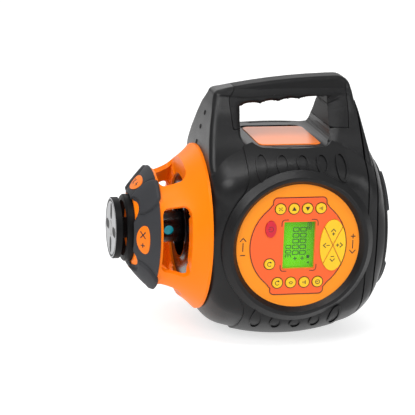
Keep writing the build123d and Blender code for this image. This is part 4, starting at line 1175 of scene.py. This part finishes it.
class LASERLEVEL_OT_housing(bpy.types.Operator):
    """Dress the barrel, its covers, the handle and the base in black mouldings"""

    bl_idname = "laser_level.housing"
    bl_label = "Dress Housing"

    def opening_rim(self, form, other):
        """Points along the front and back rims of the hand opening, without the seam to the other piece."""
        solid = nodes[other].data
        polygons = [polygon.vertices for polygon in solid.polygons]
        across_seam = BVHTree.FromPolygons([vert.co for vert in solid.vertices], polygons)
        rims = {-1: [], 1: []}
        for edge in form.edges:
            if len(edge.link_faces) != 2:
                continue
            first, second = edge.link_faces
            if abs(first.normal.y) < abs(second.normal.y):
                first, second = second, first
            if abs(first.normal.y) < rim_face_normal or abs(second.normal.y) > rim_wall_normal:
                continue
            start, end = edge.verts[0].co, edge.verts[1].co
            halfway = (start + end) / 2
            inward = opening_middle - halfway
            side = 1 if start.y > 0 else -1
            if abs(inward.x) > opening_reach.x or abs(inward.z) > opening_reach.z:
                continue
            if first.normal.y * side < 0 or inward.x * second.normal.x + inward.z * second.normal.z < 0:
                continue
            if across_seam.find_nearest(halfway, seam_reach)[0]:
                continue
            steps = max(1, round(edge.calc_length() / rim_step))
            rims[side] += [start.lerp(end, step / steps) for step in range(steps + 1)]
        return rims

    def split_near(self, form, near, reach):
        """Cut the edges that pass near a rim until none of them is long."""
        lowest = opening_middle.z - opening_reach.z

        def passes(edge):
            start, end = edge.verts[0].co, edge.verts[1].co
            if max(start.z, end.z) < lowest:
                return False
            for sample in range(edge_samples + 1):
                place = start.lerp(end, sample / edge_samples)
                away, depth = near(place)
                if away < reach and abs(place.y) > depth - 2 * reach:
                    return True
            return False

        split_edges(form, passes, opening_edge)

    def soft_opening(self, form, details, other, handle):
        """Round the edges of the hand opening, fully along the grip and less along the sill, then bend."""
        low, high = (opening_middle.z + fade for fade in grip_fade)
        for side, rim in self.opening_rim(form, other).items():
            tree = KDTree(len(rim))
            for index, point in enumerate(rim):
                tree.insert((point.x, 0.0, point.z), index)
            tree.balance()

            def near(place):
                """Distance to the rim across the opening's plane, and the rim's own depth."""
                if place.y * side < opening_skip:
                    return opening_far, 0.0
                _, index, away = tree.find((place.x, 0.0, place.z))
                return away, abs(rim[index].y)

            self.split_near(form, near, details.grip_round)
            form.normal_update()
            for vert in form.verts:
                away, depth = near(vert.co)
                share = smooth_step(low, high, vert.co.z)
                bend = details.sill_round + (details.grip_round - details.sill_round) * share
                if away >= bend:
                    continue
                drop = bend * (1.0 - away / bend) ** 2
                if away < rim_width:
                    vert.co.y = side * min(abs(vert.co.y), depth - drop)
                elif any(face.normal.y * side > front_normal for face in vert.link_faces):
                    vert.co.y -= side * drop
        bmesh.ops.dissolve_degenerate(form, edges=form.edges, dist=merge_distance)
        handle.bend(form)

    def closer_treads(self, form):
        """Draw the treads of the front cover together along its top and bottom."""
        for vert in form.verts:
            amount = smooth_step(*tread_zone, abs(vert.co.z - axis_height))
            vert.co.x += ((vert.co.x - cad_tread_middle) * tread_share + tread_middle - vert.co.x) * amount

    def plate_forward(self, form):
        """Set the orange plate nearer to the front edge of the sill."""
        low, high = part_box("top_plate")
        for vert in form.verts:
            along = (vert.co.x - low.x) / (high.x - low.x)
            across = (vert.co.y - low.y) / (high.y - low.y)
            vert.co.x = low.x + along * (plate_end_x - low.x)
            vert.co.y = plate_sides[0] + across * (plate_sides[1] - plate_sides[0])

    def wells(self, details, housing):
        """Screw wells on the fins, each set on the housing's own surface: a rim round a darker disc, which is
        painted shade for the well's hollow.
        """
        depsgraph = bpy.context.evaluated_depsgraph_get()
        points, normals = [], []
        for x, y, z in well_places:
            aim = Vector((x, y, axis_height + z))
            _, point, normal, _ = housing.closest_point_on_mesh(aim, depsgraph=depsgraph)
            points.append(point + normal * details.ink_height)
            normals.append(normal)

        def well(tree):
            radius = tree.length("Radius", details.well_radius)
            # The filled disc is painted shade standing for the dark hollow of the well
            painted_hollow_shade = tree.add("GeometryNodeMeshCircle", {"fill_type": "NGON"},
                            {"Vertices": well_steps, "Radius": radius})
            path = tree.add("GeometryNodeCurvePrimitiveCircle", None,
                            {"Resolution": well_steps, "Radius": radius})
            bead = tree.add("GeometryNodeCurvePrimitiveCircle", None,
                            {"Resolution": bead_steps, "Radius": bead_share * radius})
            rim = tree.add("GeometryNodeCurveToMesh", None, {"Curve": path, "Profile Curve": bead})
            joined = tree.add("GeometryNodeJoinGeometry", None, {"Geometry": rim})
            tree.feed(joined.socket.node.inputs["Geometry"], painted_hollow_shade)
            return joined

        black = smooth_finish("matt_black", "well_black")
        finish_piece(set_on_points("fin_wells", well, points, normals, black), black, "main_housing")

    def execute(self, context):
        settings = settings_of(context)
        colours, details = settings.colours, settings.details
        handle = HandleBend()

        def beside(other):
            """Shape function for a piece of the handle that meets another one."""
            return lambda form: self.soft_opening(form, details, other, handle)

        black = moulding("housing_black", colours.housing)
        housing = dress("main_housing", black, beside("handle_grip"))
        dress("base_plate", black)
        cover = moulding("cover_black", colours.cover)
        dress("front_cover", cover, self.closer_treads)
        dress("rear_cover", cover)
        dress("handle_grip", grip_black(colours), beside("main_housing"))
        self.wells(details, housing)
        dress("top_plate", moulding("plate_orange", colours.guard), self.plate_forward)
        rubber = bumper_rubber(colours)
        for node in ("base_feet", "side_feet"):
            dress(node, rubber)
        return {"FINISHED"}


def dome_x(radius):
    """Place along the laser axis where the dome's cone has a radius."""
    share = (radius - dome_rim_radius) / (dome_top_radius - dome_rim_radius)
    return dome_rim_x + share * (dome_top_x - dome_rim_x)


class LASERLEVEL_OT_guard(bpy.types.Operator):
    """Dress the orange lantern guard and model its rubber bumper with soft lobes"""

    bl_idname = "laser_level.guard"
    bl_label = "Dress Guard"

    def lobe_height(self, details, across, up):
        """Rise of the nearest lobe at a place seen from the head end, with a crease round it."""
        lobe_across = details.lobe_distance * cos(details.lobe_angle)
        lobe_up = details.lobe_distance * sin(details.lobe_angle)
        away = hypot(abs(across) - lobe_across, abs(up) - lobe_up)
        edge = details.lobe_radius
        rise = smooth_step(edge + lobe_slope[0], edge - lobe_slope[1], away)
        crown = lobe_crown * max(0.0, 1.0 - (away / edge) ** 2)
        crease = smooth_step(crease_width, 0.0, abs(away - edge - crease_place))
        return details.lobe_raise * (lobe_plateau * rise + crown) - crease_depth * crease

    def inner_radius(self, details, angle):
        """Radius of the bumper's inner edge: the hole round the collar, with a notch at each diagonal."""
        off = angle % (pi / 2) - pi / 4
        away = details.scallop_distance * sin(off)
        if abs(away) >= details.scallop_radius:
            return bumper_hole
        notch = details.scallop_distance * cos(off) + sqrt(details.scallop_radius ** 2 - away ** 2)
        return max(bumper_hole, notch)

    def section(self, details, angle, foot_steps=5, slope_steps=44, under_steps=12):
        """Section of the bumper at an angle: (along the axis, radius) pairs, closed."""
        across, up = cos(angle), sin(angle)
        rim = dome_rim_radius + bumper_thickness
        rim_lift = self.lobe_height(details, rim * across, rim * up)
        over_lobe = min(1.0, max(0.0, rim_lift / details.lobe_raise))
        base_x = bumper_base_x + (lobe_base_x - bumper_base_x) * over_lobe
        inner = self.inner_radius(details, angle)
        rows = []
        for step in range(foot_steps):
            share = step / foot_steps
            rounding = 1.0 - foot_round + foot_round * sin(share * pi / 2)
            rows.append((base_x + share * (dome_rim_x - base_x),
                         dome_rim_radius + (bumper_thickness + rim_lift) * rounding))
        for step in range(slope_steps + 1):
            reach = rim + (inner - rim) * step / slope_steps
            x = max(bumper_top_x, dome_x(reach - bumper_thickness))
            lip = smooth_step(lip_width, 0.0, reach - inner)
            lift = self.lobe_height(details, reach * across, reach * up) * (1.0 - lip)
            rows.append((x - lobe_lean[0] * lift + lip_drop * lip, reach + lobe_lean[1] * lift))
        start = min(inner, max(dome_top_radius, inner - bumper_thickness))
        for step in range(under_steps + 1):
            ground = start + (dome_rim_radius - start) * step / under_steps
            rows.append((max(dome_top_x - bumper_seat, dome_x(ground)), ground + bumper_seat))
        rows.append((base_x, dome_rim_radius + bumper_seat))
        return rows

    def bumper(self, details, material):
        """Rubber ring over the dome, turned round the laser axis section by section."""
        turns = details.bumper_turns
        form = bmesh.new()
        rings = []
        for turn in range(turns):
            angle = tau * turn / turns
            rings.append([form.verts.new((x, -radius * cos(angle), axis_height + radius * sin(angle)))
                          for x, radius in self.section(details, angle)])
        count = len(rings[0])
        for here, there in zip(rings, rings[1:] + rings[:1]):
            for row in range(count):
                after = (row + 1) % count
                form.faces.new((here[row], here[after], there[after], there[row]))
        bmesh.ops.recalc_face_normals(form, faces=form.faces)
        mesh = mesh_of(form, "bumper_ring")
        shade(mesh, bumper_crease)
        finish_piece(link("bumper_ring", mesh), material, "head_bumper", "head_bumper")

    def wedge_windows(self, form):
        """Open the windows into wedges from the laser axis, with thinner pillars between them."""
        split_edges(form, lambda edge: min(vert.co.x for vert in edge.verts) < skirt_end_x, window_edge)
        head_x, base_x = cad_window
        flare, radius = circle_through(Vector((skirt_end_x, skirt_radius)), flare_waist,
                                       Vector((head_x, dome_rim_radius)))
        places = ((dome_rim_x, dome_rim_x), (head_x, window[0]), (base_x, window[1]),
                  (skirt_end_x, skirt_end_x))
        halves = tuple(zip(cad_window, cad_window_half))

        def outer(x):
            """Radius of the guard's outside along the laser axis."""
            if x <= head_x:
                return dome_rim_radius
            drop = sqrt(max(0.0, radius ** 2 - (x - flare.x) ** 2))
            return flare.y - copysign(drop, flare.y - skirt_radius)

        for vert in form.verts:
            x, away = vert.co.x, hypot(vert.co.y, vert.co.z - axis_height)
            if x < dome_rim_x + merge_distance or x > skirt_end_x - merge_distance:
                continue
            angle = atan2(vert.co.z - axis_height, vert.co.y)
            quarter = round(angle / (pi / 2)) * pi / 2
            off = abs(angle - quarter)
            edge = asin(min(widest_sine, level(halves, x) / away))
            if off < edge:
                opened = off * window_angle / edge
            else:
                opened = window_angle + (off - edge) * (pi / 4 - window_angle) / (pi / 4 - edge)
            strength = smooth_step(base_x + base_fade[0], base_x + base_fade[1], x)
            strength *= smooth_step(dome_rim_x, head_x - head_fade, x)
            angle = quarter + copysign(off + (opened - off) * strength, angle - quarter)
            new_x = level(places, x)
            new_inner = cad_pillar_inner
            if new_x < window[1] - face_distance:
                new_inner = max(cad_pillar_inner, outer(new_x) - pillar_wall)
            if x >= head_x - merge_distance and away > cad_pillar_inner - chord_sag:
                share = max(0.0, (away - cad_pillar_inner) / (outer(x) - cad_pillar_inner))
                away = new_inner + share * (outer(new_x) - new_inner)
            vert.co = Vector((new_x, away * cos(angle), axis_height + away * sin(angle)))

    def lower_dish_rim(self, form):
        """Draw in the rim round the dish's hole."""
        for vert in form.verts:
            if vert.co.x > dish_face_x - merge_distance:
                continue
            away = hypot(vert.co.y, vert.co.z - axis_height)
            share = (dish_hole + (away - dish_hole) * dish_rim_share) / away
            vert.co.y *= share
            vert.co.z = axis_height + (vert.co.z - axis_height) * share
            vert.co.x = dish_face_x + (vert.co.x - dish_face_x) * dish_rim_share

    def badges_inward(self, form):
        """Slide the four badges up the cone, towards the laser axis."""
        along = dome_x(badge_radius) - dome_x(badge_radius + badge_shift)
        for vert in form.verts:
            up = vert.co.z - axis_height
            if abs(up) > abs(vert.co.y):
                vert.co.z -= copysign(badge_shift, up)
            else:
                vert.co.y -= copysign(badge_shift, vert.co.y)
            vert.co.x += along

    def execute(self, context):
        settings = settings_of(context)
        orange = settings.colours.guard
        dress("lantern_guard", moulding("guard_orange", orange), self.wedge_windows)
        dress("turret_base", smooth_finish("gloss_black", "dish_black"), self.lower_dish_rim)
        dress("axis_badges", moulding("badge_orange", orange), self.badges_inward)
        self.bumper(settings.details, bumper_rubber(settings.colours))
        return {"FINISHED"}


class LASERLEVEL_OT_head(bpy.types.Operator):
    """Dress the spinning head, and add the ring and the black slot fills, partly painted shade, on its cap"""

    bl_idname = "laser_level.head"
    bl_label = "Dress Head"

    def eighth_turn(self, form):
        """Turn the cap's face by an eighth about the laser axis."""
        eighth = Matrix.Rotation(pi / 4, 3, "X")
        bmesh.ops.rotate(form, verts=form.verts, cent=(0.0, 0.0, axis_height), matrix=eighth)

    def cap_inlays(self, details, black):
        """Black sheets flush over the four slots of the cap's face: the black of the head seen through them, and
        painted shade in place of their shaded walls.
        """
        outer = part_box("cap_face")[1].z - axis_height
        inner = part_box("cap_lens")[1].z - axis_height
        radius = details.slot_width / 2
        slot_middle = (outer + inner) / 2
        run = (outer - inner) / 2 - details.slot_web - radius
        marks = Print(cap_place, details.ink_height)
        for quarter in range(4):
            spin = Matrix.Rotation(quarter * pi / 2, 2)
            outline = []
            for end, start in ((run, -pi / 2), (-run, pi / 2)):
                for step in range(slot_steps + 1):
                    turn = start + pi * step / slot_steps
                    across = slot_middle + end + radius * cos(turn)
                    outline.append(spin @ Vector((across, radius * sin(turn))))
            marks.fill([(point.x, point.y) for point in outline])
        marks.finished("cap_inlays", black, "rotor_head")

    def cap_ring(self, details, grey):
        """Pale ring round the front of the cap."""
        low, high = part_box("rotor_head")
        reach = (high.z - low.z) / 2 - details.cap_ring_width
        marks = Print(cap_place, details.ink_height)
        marks.arc(0.0, 0.0, reach, 0, 360, details.cap_ring_width, cap_ring_steps)
        marks.finished("cap_ring", grey, "rotor_head")

    def execute(self, context):
        settings = settings_of(context)
        black = smooth_finish("gloss_black")
        for node in ("rotor_drum", "rotor_pulley"):
            dress(node, black)
        flat = smooth_finish("matt_black")
        for node in ("rotor_head", "guard_collar"):
            dress(node, flat)
        grey = moulding("satin_grey", cap_grey)
        dress("cap_face", grey, self.eighth_turn)
        self.cap_ring(settings.details, grey)
        self.cap_inlays(settings.details, smooth_finish("matt_black", "inlay_black"))
        dress("cap_lens", smooth_finish("dark_glass"))
        dress("aperture_window", aperture_blue(settings.colours))
        paint("pentaprism", smooth_finish("prism_glass"))
        return {"FINISHED"}


def wider_tab(x, up):
    """Place across the panel of a point on the film's edge, with wider tabs that leave the disc softly."""
    if hypot(x, up) < film_radius - film_slack:
        return x
    if any(hypot(x - key_x, up - key_up) < key_clear for key_x, key_up in key_middles.values()):
        return x
    share = abs(x) / cad_tab_half if abs(x) < cad_tab_half else 1.0 - (abs(x) - cad_tab_half) / tab_fade
    return x + copysign(tab_gain * max(0.0, share) * smooth_step(*tab_zone, abs(up)), x)


def widen_film(form):
    """Widen the tabs of the film."""
    for vert in form.verts:
        vert.co.x = wider_tab(vert.co.x, vert.co.z - axis_height)


class LASERLEVEL_OT_panel(bpy.types.Operator):
    """Dress the panel, the film, the keys and the display"""

    bl_idname = "laser_level.panel"
    bl_label = "Dress Panel"

    def execute(self, context):
        colours = settings_of(context).colours
        dress("panel_plate", moulding("panel_orange", colours.panel))
        dress("keypad_overlay", keypad_film(colours), widen_film)
        yellow = moulding("key_yellow", colours.key)
        red = moulding("key_red", colours.power)
        for name in key_names:
            dress(name, red if name == "key_power" else yellow)
        dress("lcd_window", smooth_finish("window_clear"))
        dress("lcd_module", display_green(colours))
        return {"FINISHED"}


class LASERLEVEL_OT_prints(bpy.types.Operator):
    """Print the lines, symbols and digits of the panel and the badges"""

    bl_idname = "laser_level.prints"
    bl_label = "Print Marks"

    def film_lines(self, details, dark):
        """Outline of the film, and a ring round every round key."""
        outer = max(front_loops("keypad_overlay"), key=lambda loop: max(x for x, up in loop))
        outer = [(wider_tab(x, up), up) for x, up in outer]
        outlines = [shifted(outer, details.outline_inset)]
        rings = []
        for name in key_names:
            if name.startswith("key_pad") or name == "key_power":
                continue
            low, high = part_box(name)
            rings.append(circle(*key_middles[name], key_ring_share * (high.x - low.x), key_ring_steps))
        place = panel_place(film_face, 0.0, 0.0)
        for name, loops, width in (("film_outline", outlines, details.outline_width),
                                   ("key_rings", rings, details.ring_width)):
            piece = printed_lines(name, loops, place, width, details.ink_height, dark)
            finish_piece(piece, dark, "keypad_overlay")

    def brackets(self, details, dark):
        """Rounded corner marks round the display."""
        low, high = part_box("lcd_window")
        half_x = (high.x - low.x) / 2 + bracket_gap
        half_z = (high.z - low.z) / 2 + bracket_gap
        corner = [(half_x - details.bracket_reach, half_z)]
        for step in range(bracket_steps + 1):
            turn = pi / 2 * (1 - step / bracket_steps)
            corner.append((half_x - bracket_bend + bracket_bend * cos(turn),
                           half_z - bracket_bend + bracket_bend * sin(turn)))
        corner.append((half_x, half_z - details.bracket_reach))
        marks = Print(panel_place(film_face, *middle("lcd_window")), details.ink_height)
        for side in (1, -1):
            for row in (1, -1):
                marks.line([(side * x, row * z) for x, z in corner], bracket_share * details.outline_width)
        marks.finished("display_brackets", dark, "keypad_overlay")

    def key_marks(self, details, dark, deep_red):
        """A symbol on every key, which moves with its key."""
        for name in key_names:
            lying = name in key_symbols
            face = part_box(name)[0].y
            marks = Print(panel_place(face, *key_middles[name], lying=lying), details.ink_height)
            if lying:
                size = power_size if name == "key_power" else symbol_size
                key_symbols[name](marks, 0.0, 0.0, size, symbol_stroke)
            elif name.startswith("key_pad"):
                self.pad_mark(marks, name)
            else:
                draw_triangle(marks, 0.0, 0.0, arrow_size, 0.0 if name.endswith("2") else 180.0)
            marks.finished(name + "_mark", deep_red if name == "key_power" else dark, name)

    def pad_mark(self, marks, name):
        """An arrow and a sign on a quarter of the arrow pad."""
        quarter = name.rsplit("_", 1)[1]
        turn = pad_turns[quarter]
        spin = Matrix.Rotation(radians(turn), 2)
        out, size, stroke = pad_arrow
        tip = spin @ Vector((0.0, out))
        draw_chevron(marks, tip.x, tip.y, size, stroke, turn)
        out, size, stroke = pad_sign
        back = spin @ Vector((0.0, out))
        draw = draw_plus if quarter in ("up", "right") else draw_minus
        draw(marks, back.x, back.y, size, stroke)

    def pad_web(self, orange):
        """Thin webs of the film between the quarters of the arrow pad."""
        lows, highs = zip(*(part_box(name) for name in key_names if name.startswith("key_pad")))
        front = min(low.y for low in lows)
        half_x = web_share * (max(high.x for high in highs) - min(low.x for low in lows)) / 2
        half_z = web_share * (max(high.z for high in highs) - min(low.z for low in lows)) / 2
        x = sum(low.x + high.x for low, high in zip(lows, highs)) / (2 * len(lows))
        gap_x, gap_z = web_gap
        marks = Print(panel_place(film_face, x, 0.0), film_face - front - web_drop)
        marks.line([(-half_x, -half_z), (half_x, half_z)], web_width)
        marks.line([(-half_x, half_z), (-gap_x, gap_z)], web_width)
        marks.line([(gap_x, -gap_z), (half_x, -half_z)], web_width)
        marks.finished("pad_web", orange, "keypad_overlay")

    def ring_marks(self, details, dark):
        """Direction marks at the left and right of the orange ring."""
        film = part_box("keypad_overlay")
        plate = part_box("panel_plate")
        for end, name, side, sign in ((0, "left", -1, draw_minus), (1, "right", 1, draw_plus)):
            x = (film[end].x + plate[end].x) / 2
            marks = Print(panel_place(plate_face, x, 0.0), details.ink_height)
            out, size = ring_arrow
            draw_chevron(marks, 0.0, -side * out, size, ring_stroke, 180.0 if side > 0 else 0.0)
            marks.line([(0.0, ring_stem), (0.0, -ring_stem)], ring_stroke)
            out, size = ring_sign
            sign(marks, 0.0, side * out, size, ring_stroke)
            marks.finished(f"ring_mark_{name}", dark, "panel_plate")

    def display_marks(self, details):
        """Rows of digits and small icons on the display."""
        low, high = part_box("lcd_window")
        left, top = (low.z - high.z) / 2, (high.x - low.x) / 2
        marks = Print(panel_place(display_face, *middle("lcd_window"), lying=True), details.ink_height)
        for digits, across, below, *sizes in display_rows:
            draw_digits(marks, digits, left + across, top - below, *sizes)
        foot = top - display_foot
        across, up, size = foot_triangle
        draw_triangle(marks, left + across, foot + up, size)
        marks.fill([(left + across, foot + up) for across, up in foot_block])
        marks.line([(left + across, foot + up) for across, up in foot_frame], foot_frame_stroke, True)
        for across in foot_bars:
            marks.line([(left + across, foot + up) for up in foot_bar_ends], foot_bar_width)
        marks.finished("display_digits", ink("display_ink", display_ink), "lcd_module")

    def badge_marks(self, details, dark):
        """A direction mark on each badge, laid on the bumper's cone."""
        slope = Vector((dome_top_x - dome_rim_x, dome_top_radius - dome_rim_radius)).normalized()
        outward = Vector((slope.y, -slope.x))
        centre = Vector((dome_x(badge_radius - badge_face), badge_radius))
        for turn in range(4):
            def place(across, up, height, quarter=turn * pi / 2):
                at = centre - slope * up + outward * height
                angle = quarter + across / at.y
                return Vector((at.x, -at.y * cos(angle), axis_height + at.y * sin(angle)))

            marks = Print(place, details.ink_height)
            for across, aim in badge_arrows:
                draw_chevron(marks, across, 0.0, badge_arrow_size, badge_stroke, aim)
            across, size = badge_sign
            draw_plus(marks, across, 0.0, size, badge_stroke)
            marks.finished(f"badge_mark_{turn + 1}", dark, "axis_badges")

    def execute(self, context):
        settings = settings_of(context)
        details = settings.details
        dark = ink("print_dark", settings.colours.ink)
        self.film_lines(details, dark)
        self.brackets(details, dark)
        self.key_marks(details, dark, ink("print_deep_red", power_ink))
        self.pad_web(ink("web_orange", web_orange))
        self.ring_marks(details, dark)
        self.display_marks(details)
        self.badge_marks(details, dark)
        return {"FINISHED"}


class LASERLEVEL_OT_fittings(bpy.types.Operator):
    """Dress the battery unit, the thread inserts, the screws and the works inside"""

    bl_idname = "laser_level.fittings"
    bl_label = "Dress Fittings"

    def execute(self, context):
        colours = settings_of(context).colours
        dress("battery_cover", moulding("housing_black", colours.housing))
        steel, brass, alloy = (metal(name) for name in ("zinc_steel", "turned_brass", "cast_alloy"))
        for node in ("tripod_insert", "side_tripod_insert"):
            dress(node, brass)
        for node in ("battery_screw", "housing_screws"):
            dress(node, steel)
        inside = (
            (steel, ("gimbal_pins", "rotor_bearings", "drive_motor")),
            (brass, ("pitch_plunger", "yaw_plunger", "diode_module")),
            (alloy, ("chassis_frame", "gimbal_ring", "laser_barrel", "pitch_drive", "yaw_drive",
                     "battery_cells")),
            (smooth_finish("gloss_black", "inner_black"), ("motor_pulley", "battery_tray")),
            (bumper_rubber(colours), ("drive_belt",)),
            (board_green(), ("main_board",)),
        )
        for material, members in inside:
            for node in members:
                paint(node, material)
        return {"FINISHED"}


class LASERLEVEL_OT_stage(bpy.types.Operator):
    """Set the floor, the lights and the camera"""

    bl_idname = "laser_level.stage"
    bl_label = "Set Stage"

    def floor(self, stage):
        """Pale floor with a light of its own."""
        half = stage.floor_size / 2
        mesh = bpy.data.meshes.new("floor")
        corners = [(-half, -half, 0), (half, -half, 0), (half, half, 0), (-half, half, 0)]
        mesh.from_pydata(corners, [], [(0, 1, 2, 3)])
        floor = link("floor", mesh)
        finish = Finish("pale_floor", roughness=0.7, specular_ior_level=0.1,
                        emission_strength=stage.floor_glow, emission_color=(1.0, 1.0, 1.0, 1.0))
        finish.tone(finish.noise(3.0), stage.floor_colour, 0.985)
        floor.data.materials.append(finish.material)

    def light(self, name, place, size, power):
        """Soft rectangular light that looks at the object."""
        lamp = bpy.data.lights.new(name, "AREA")
        lamp.shape = "RECTANGLE"
        lamp.size, lamp.size_y = size
        lamp.energy = power
        light = link(name, lamp)
        light.matrix_world = (light_target - Vector(place)).to_track_quat("-Z", "Y").to_matrix().to_4x4()
        light.location = place

    def sky(self, context, stage):
        """Light that fades from overhead down to the horizon."""
        world = bpy.data.worlds.new("studio_sky")
        world.use_nodes = True
        sky = NodeMaker(world.node_tree)
        place = sky.add("ShaderNodeTexCoord", output="Generated")
        up = sky.add("ShaderNodeSeparateXYZ", None, {"Vector": place}, "Z")
        height = sky.add("ShaderNodeClamp", None, {"Value": up})
        strength = stage.horizon_strength + (stage.sky_strength - stage.horizon_strength) * height
        background = world.node_tree.nodes["Background"]
        background.inputs["Color"].default_value = (1.0, 1.0, 1.0, 1.0)
        sky.feed(background.inputs["Strength"], strength)
        context.scene.world = world

    def camera(self, context, stage):
        """Camera that sees the panel's centre at its pixel of the picture."""
        heading, pitch = stage.heading, stage.pitch
        right = Vector((cos(heading), -sin(heading), 0.0))
        forward = Vector((sin(heading) * cos(pitch), cos(heading) * cos(pitch), -sin(pitch)))
        up = right.cross(forward)
        rolled_right = right * cos(stage.roll) + up * sin(stage.roll)
        rolled_up = up * cos(stage.roll) - right * sin(stage.roll)
        per_pixel = stage.distance / stage.focal_pixels
        off_right = (stage.aim_u - stage.picture_size / 2) * per_pixel
        off_up = -(stage.aim_v - stage.picture_size / 2) * per_pixel
        target = Vector((0.0, 0.0, axis_height))
        place = target - rolled_right * off_right - rolled_up * off_up - forward * stage.distance
        lens = bpy.data.cameras.new("camera")
        lens.sensor_fit = "HORIZONTAL"
        lens.sensor_width = sensor_width
        lens.lens = stage.focal_pixels / stage.picture_size * sensor_width
        lens.clip_end = camera_reach
        camera = link("camera", lens)
        turn = Matrix((rolled_right, rolled_up, -forward)).transposed().to_4x4()
        camera.matrix_world = Matrix.Translation(place) @ turn
        context.scene.camera = camera

    def execute(self, context):
        stage = settings_of(context).stage
        self.floor(stage)
        for name, place, size, power in lights:
            self.light(name, place, size, getattr(stage, power))
        self.sky(context, stage)
        context.scene.view_settings.view_transform = "Standard"
        self.camera(context, stage)
        return {"FINISHED"}


class LASERLEVEL_PT_sidebar(bpy.types.Panel):
    """Settings and steps of the laser level"""

    bl_idname = "LASERLEVEL_PT_sidebar"
    bl_label = "Laser Level"
    bl_space_type = "VIEW_3D"
    bl_region_type = "UI"
    bl_category = "Laser Level"

    def draw(self, context):
        settings = settings_of(context)
        for operator in operators:
            self.layout.operator(operator.bl_idname)
        for group in (settings.colours, settings.details, settings.stage):
            box = self.layout.box()
            for name in group.__annotations__:
                box.prop(group, name)


operators = (
    LASERLEVEL_OT_housing,
    LASERLEVEL_OT_guard,
    LASERLEVEL_OT_head,
    LASERLEVEL_OT_panel,
    LASERLEVEL_OT_prints,
    LASERLEVEL_OT_fittings,
    LASERLEVEL_OT_stage,
)
groups = (LaserLevelColours, LaserLevelDetails, LaserLevelStage, LaserLevelSettings)


def register():
    for one in groups + operators + (LASERLEVEL_PT_sidebar,):
        bpy.utils.register_class(one)
    bpy.types.Scene.laser_level = PointerProperty(type=LaserLevelSettings)


def unregister():
    del bpy.types.Scene.laser_level
    for one in reversed(groups + operators + (LASERLEVEL_PT_sidebar,)):
        bpy.utils.unregister_class(one)


def main():
    """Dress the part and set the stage."""
    register()
    bpy.ops.laser_level.housing()
    bpy.ops.laser_level.guard()
    bpy.ops.laser_level.head()
    bpy.ops.laser_level.panel()
    bpy.ops.laser_level.prints()
    bpy.ops.laser_level.fittings()
    bpy.ops.laser_level.stage()


if __name__ == "__main__":
    main()
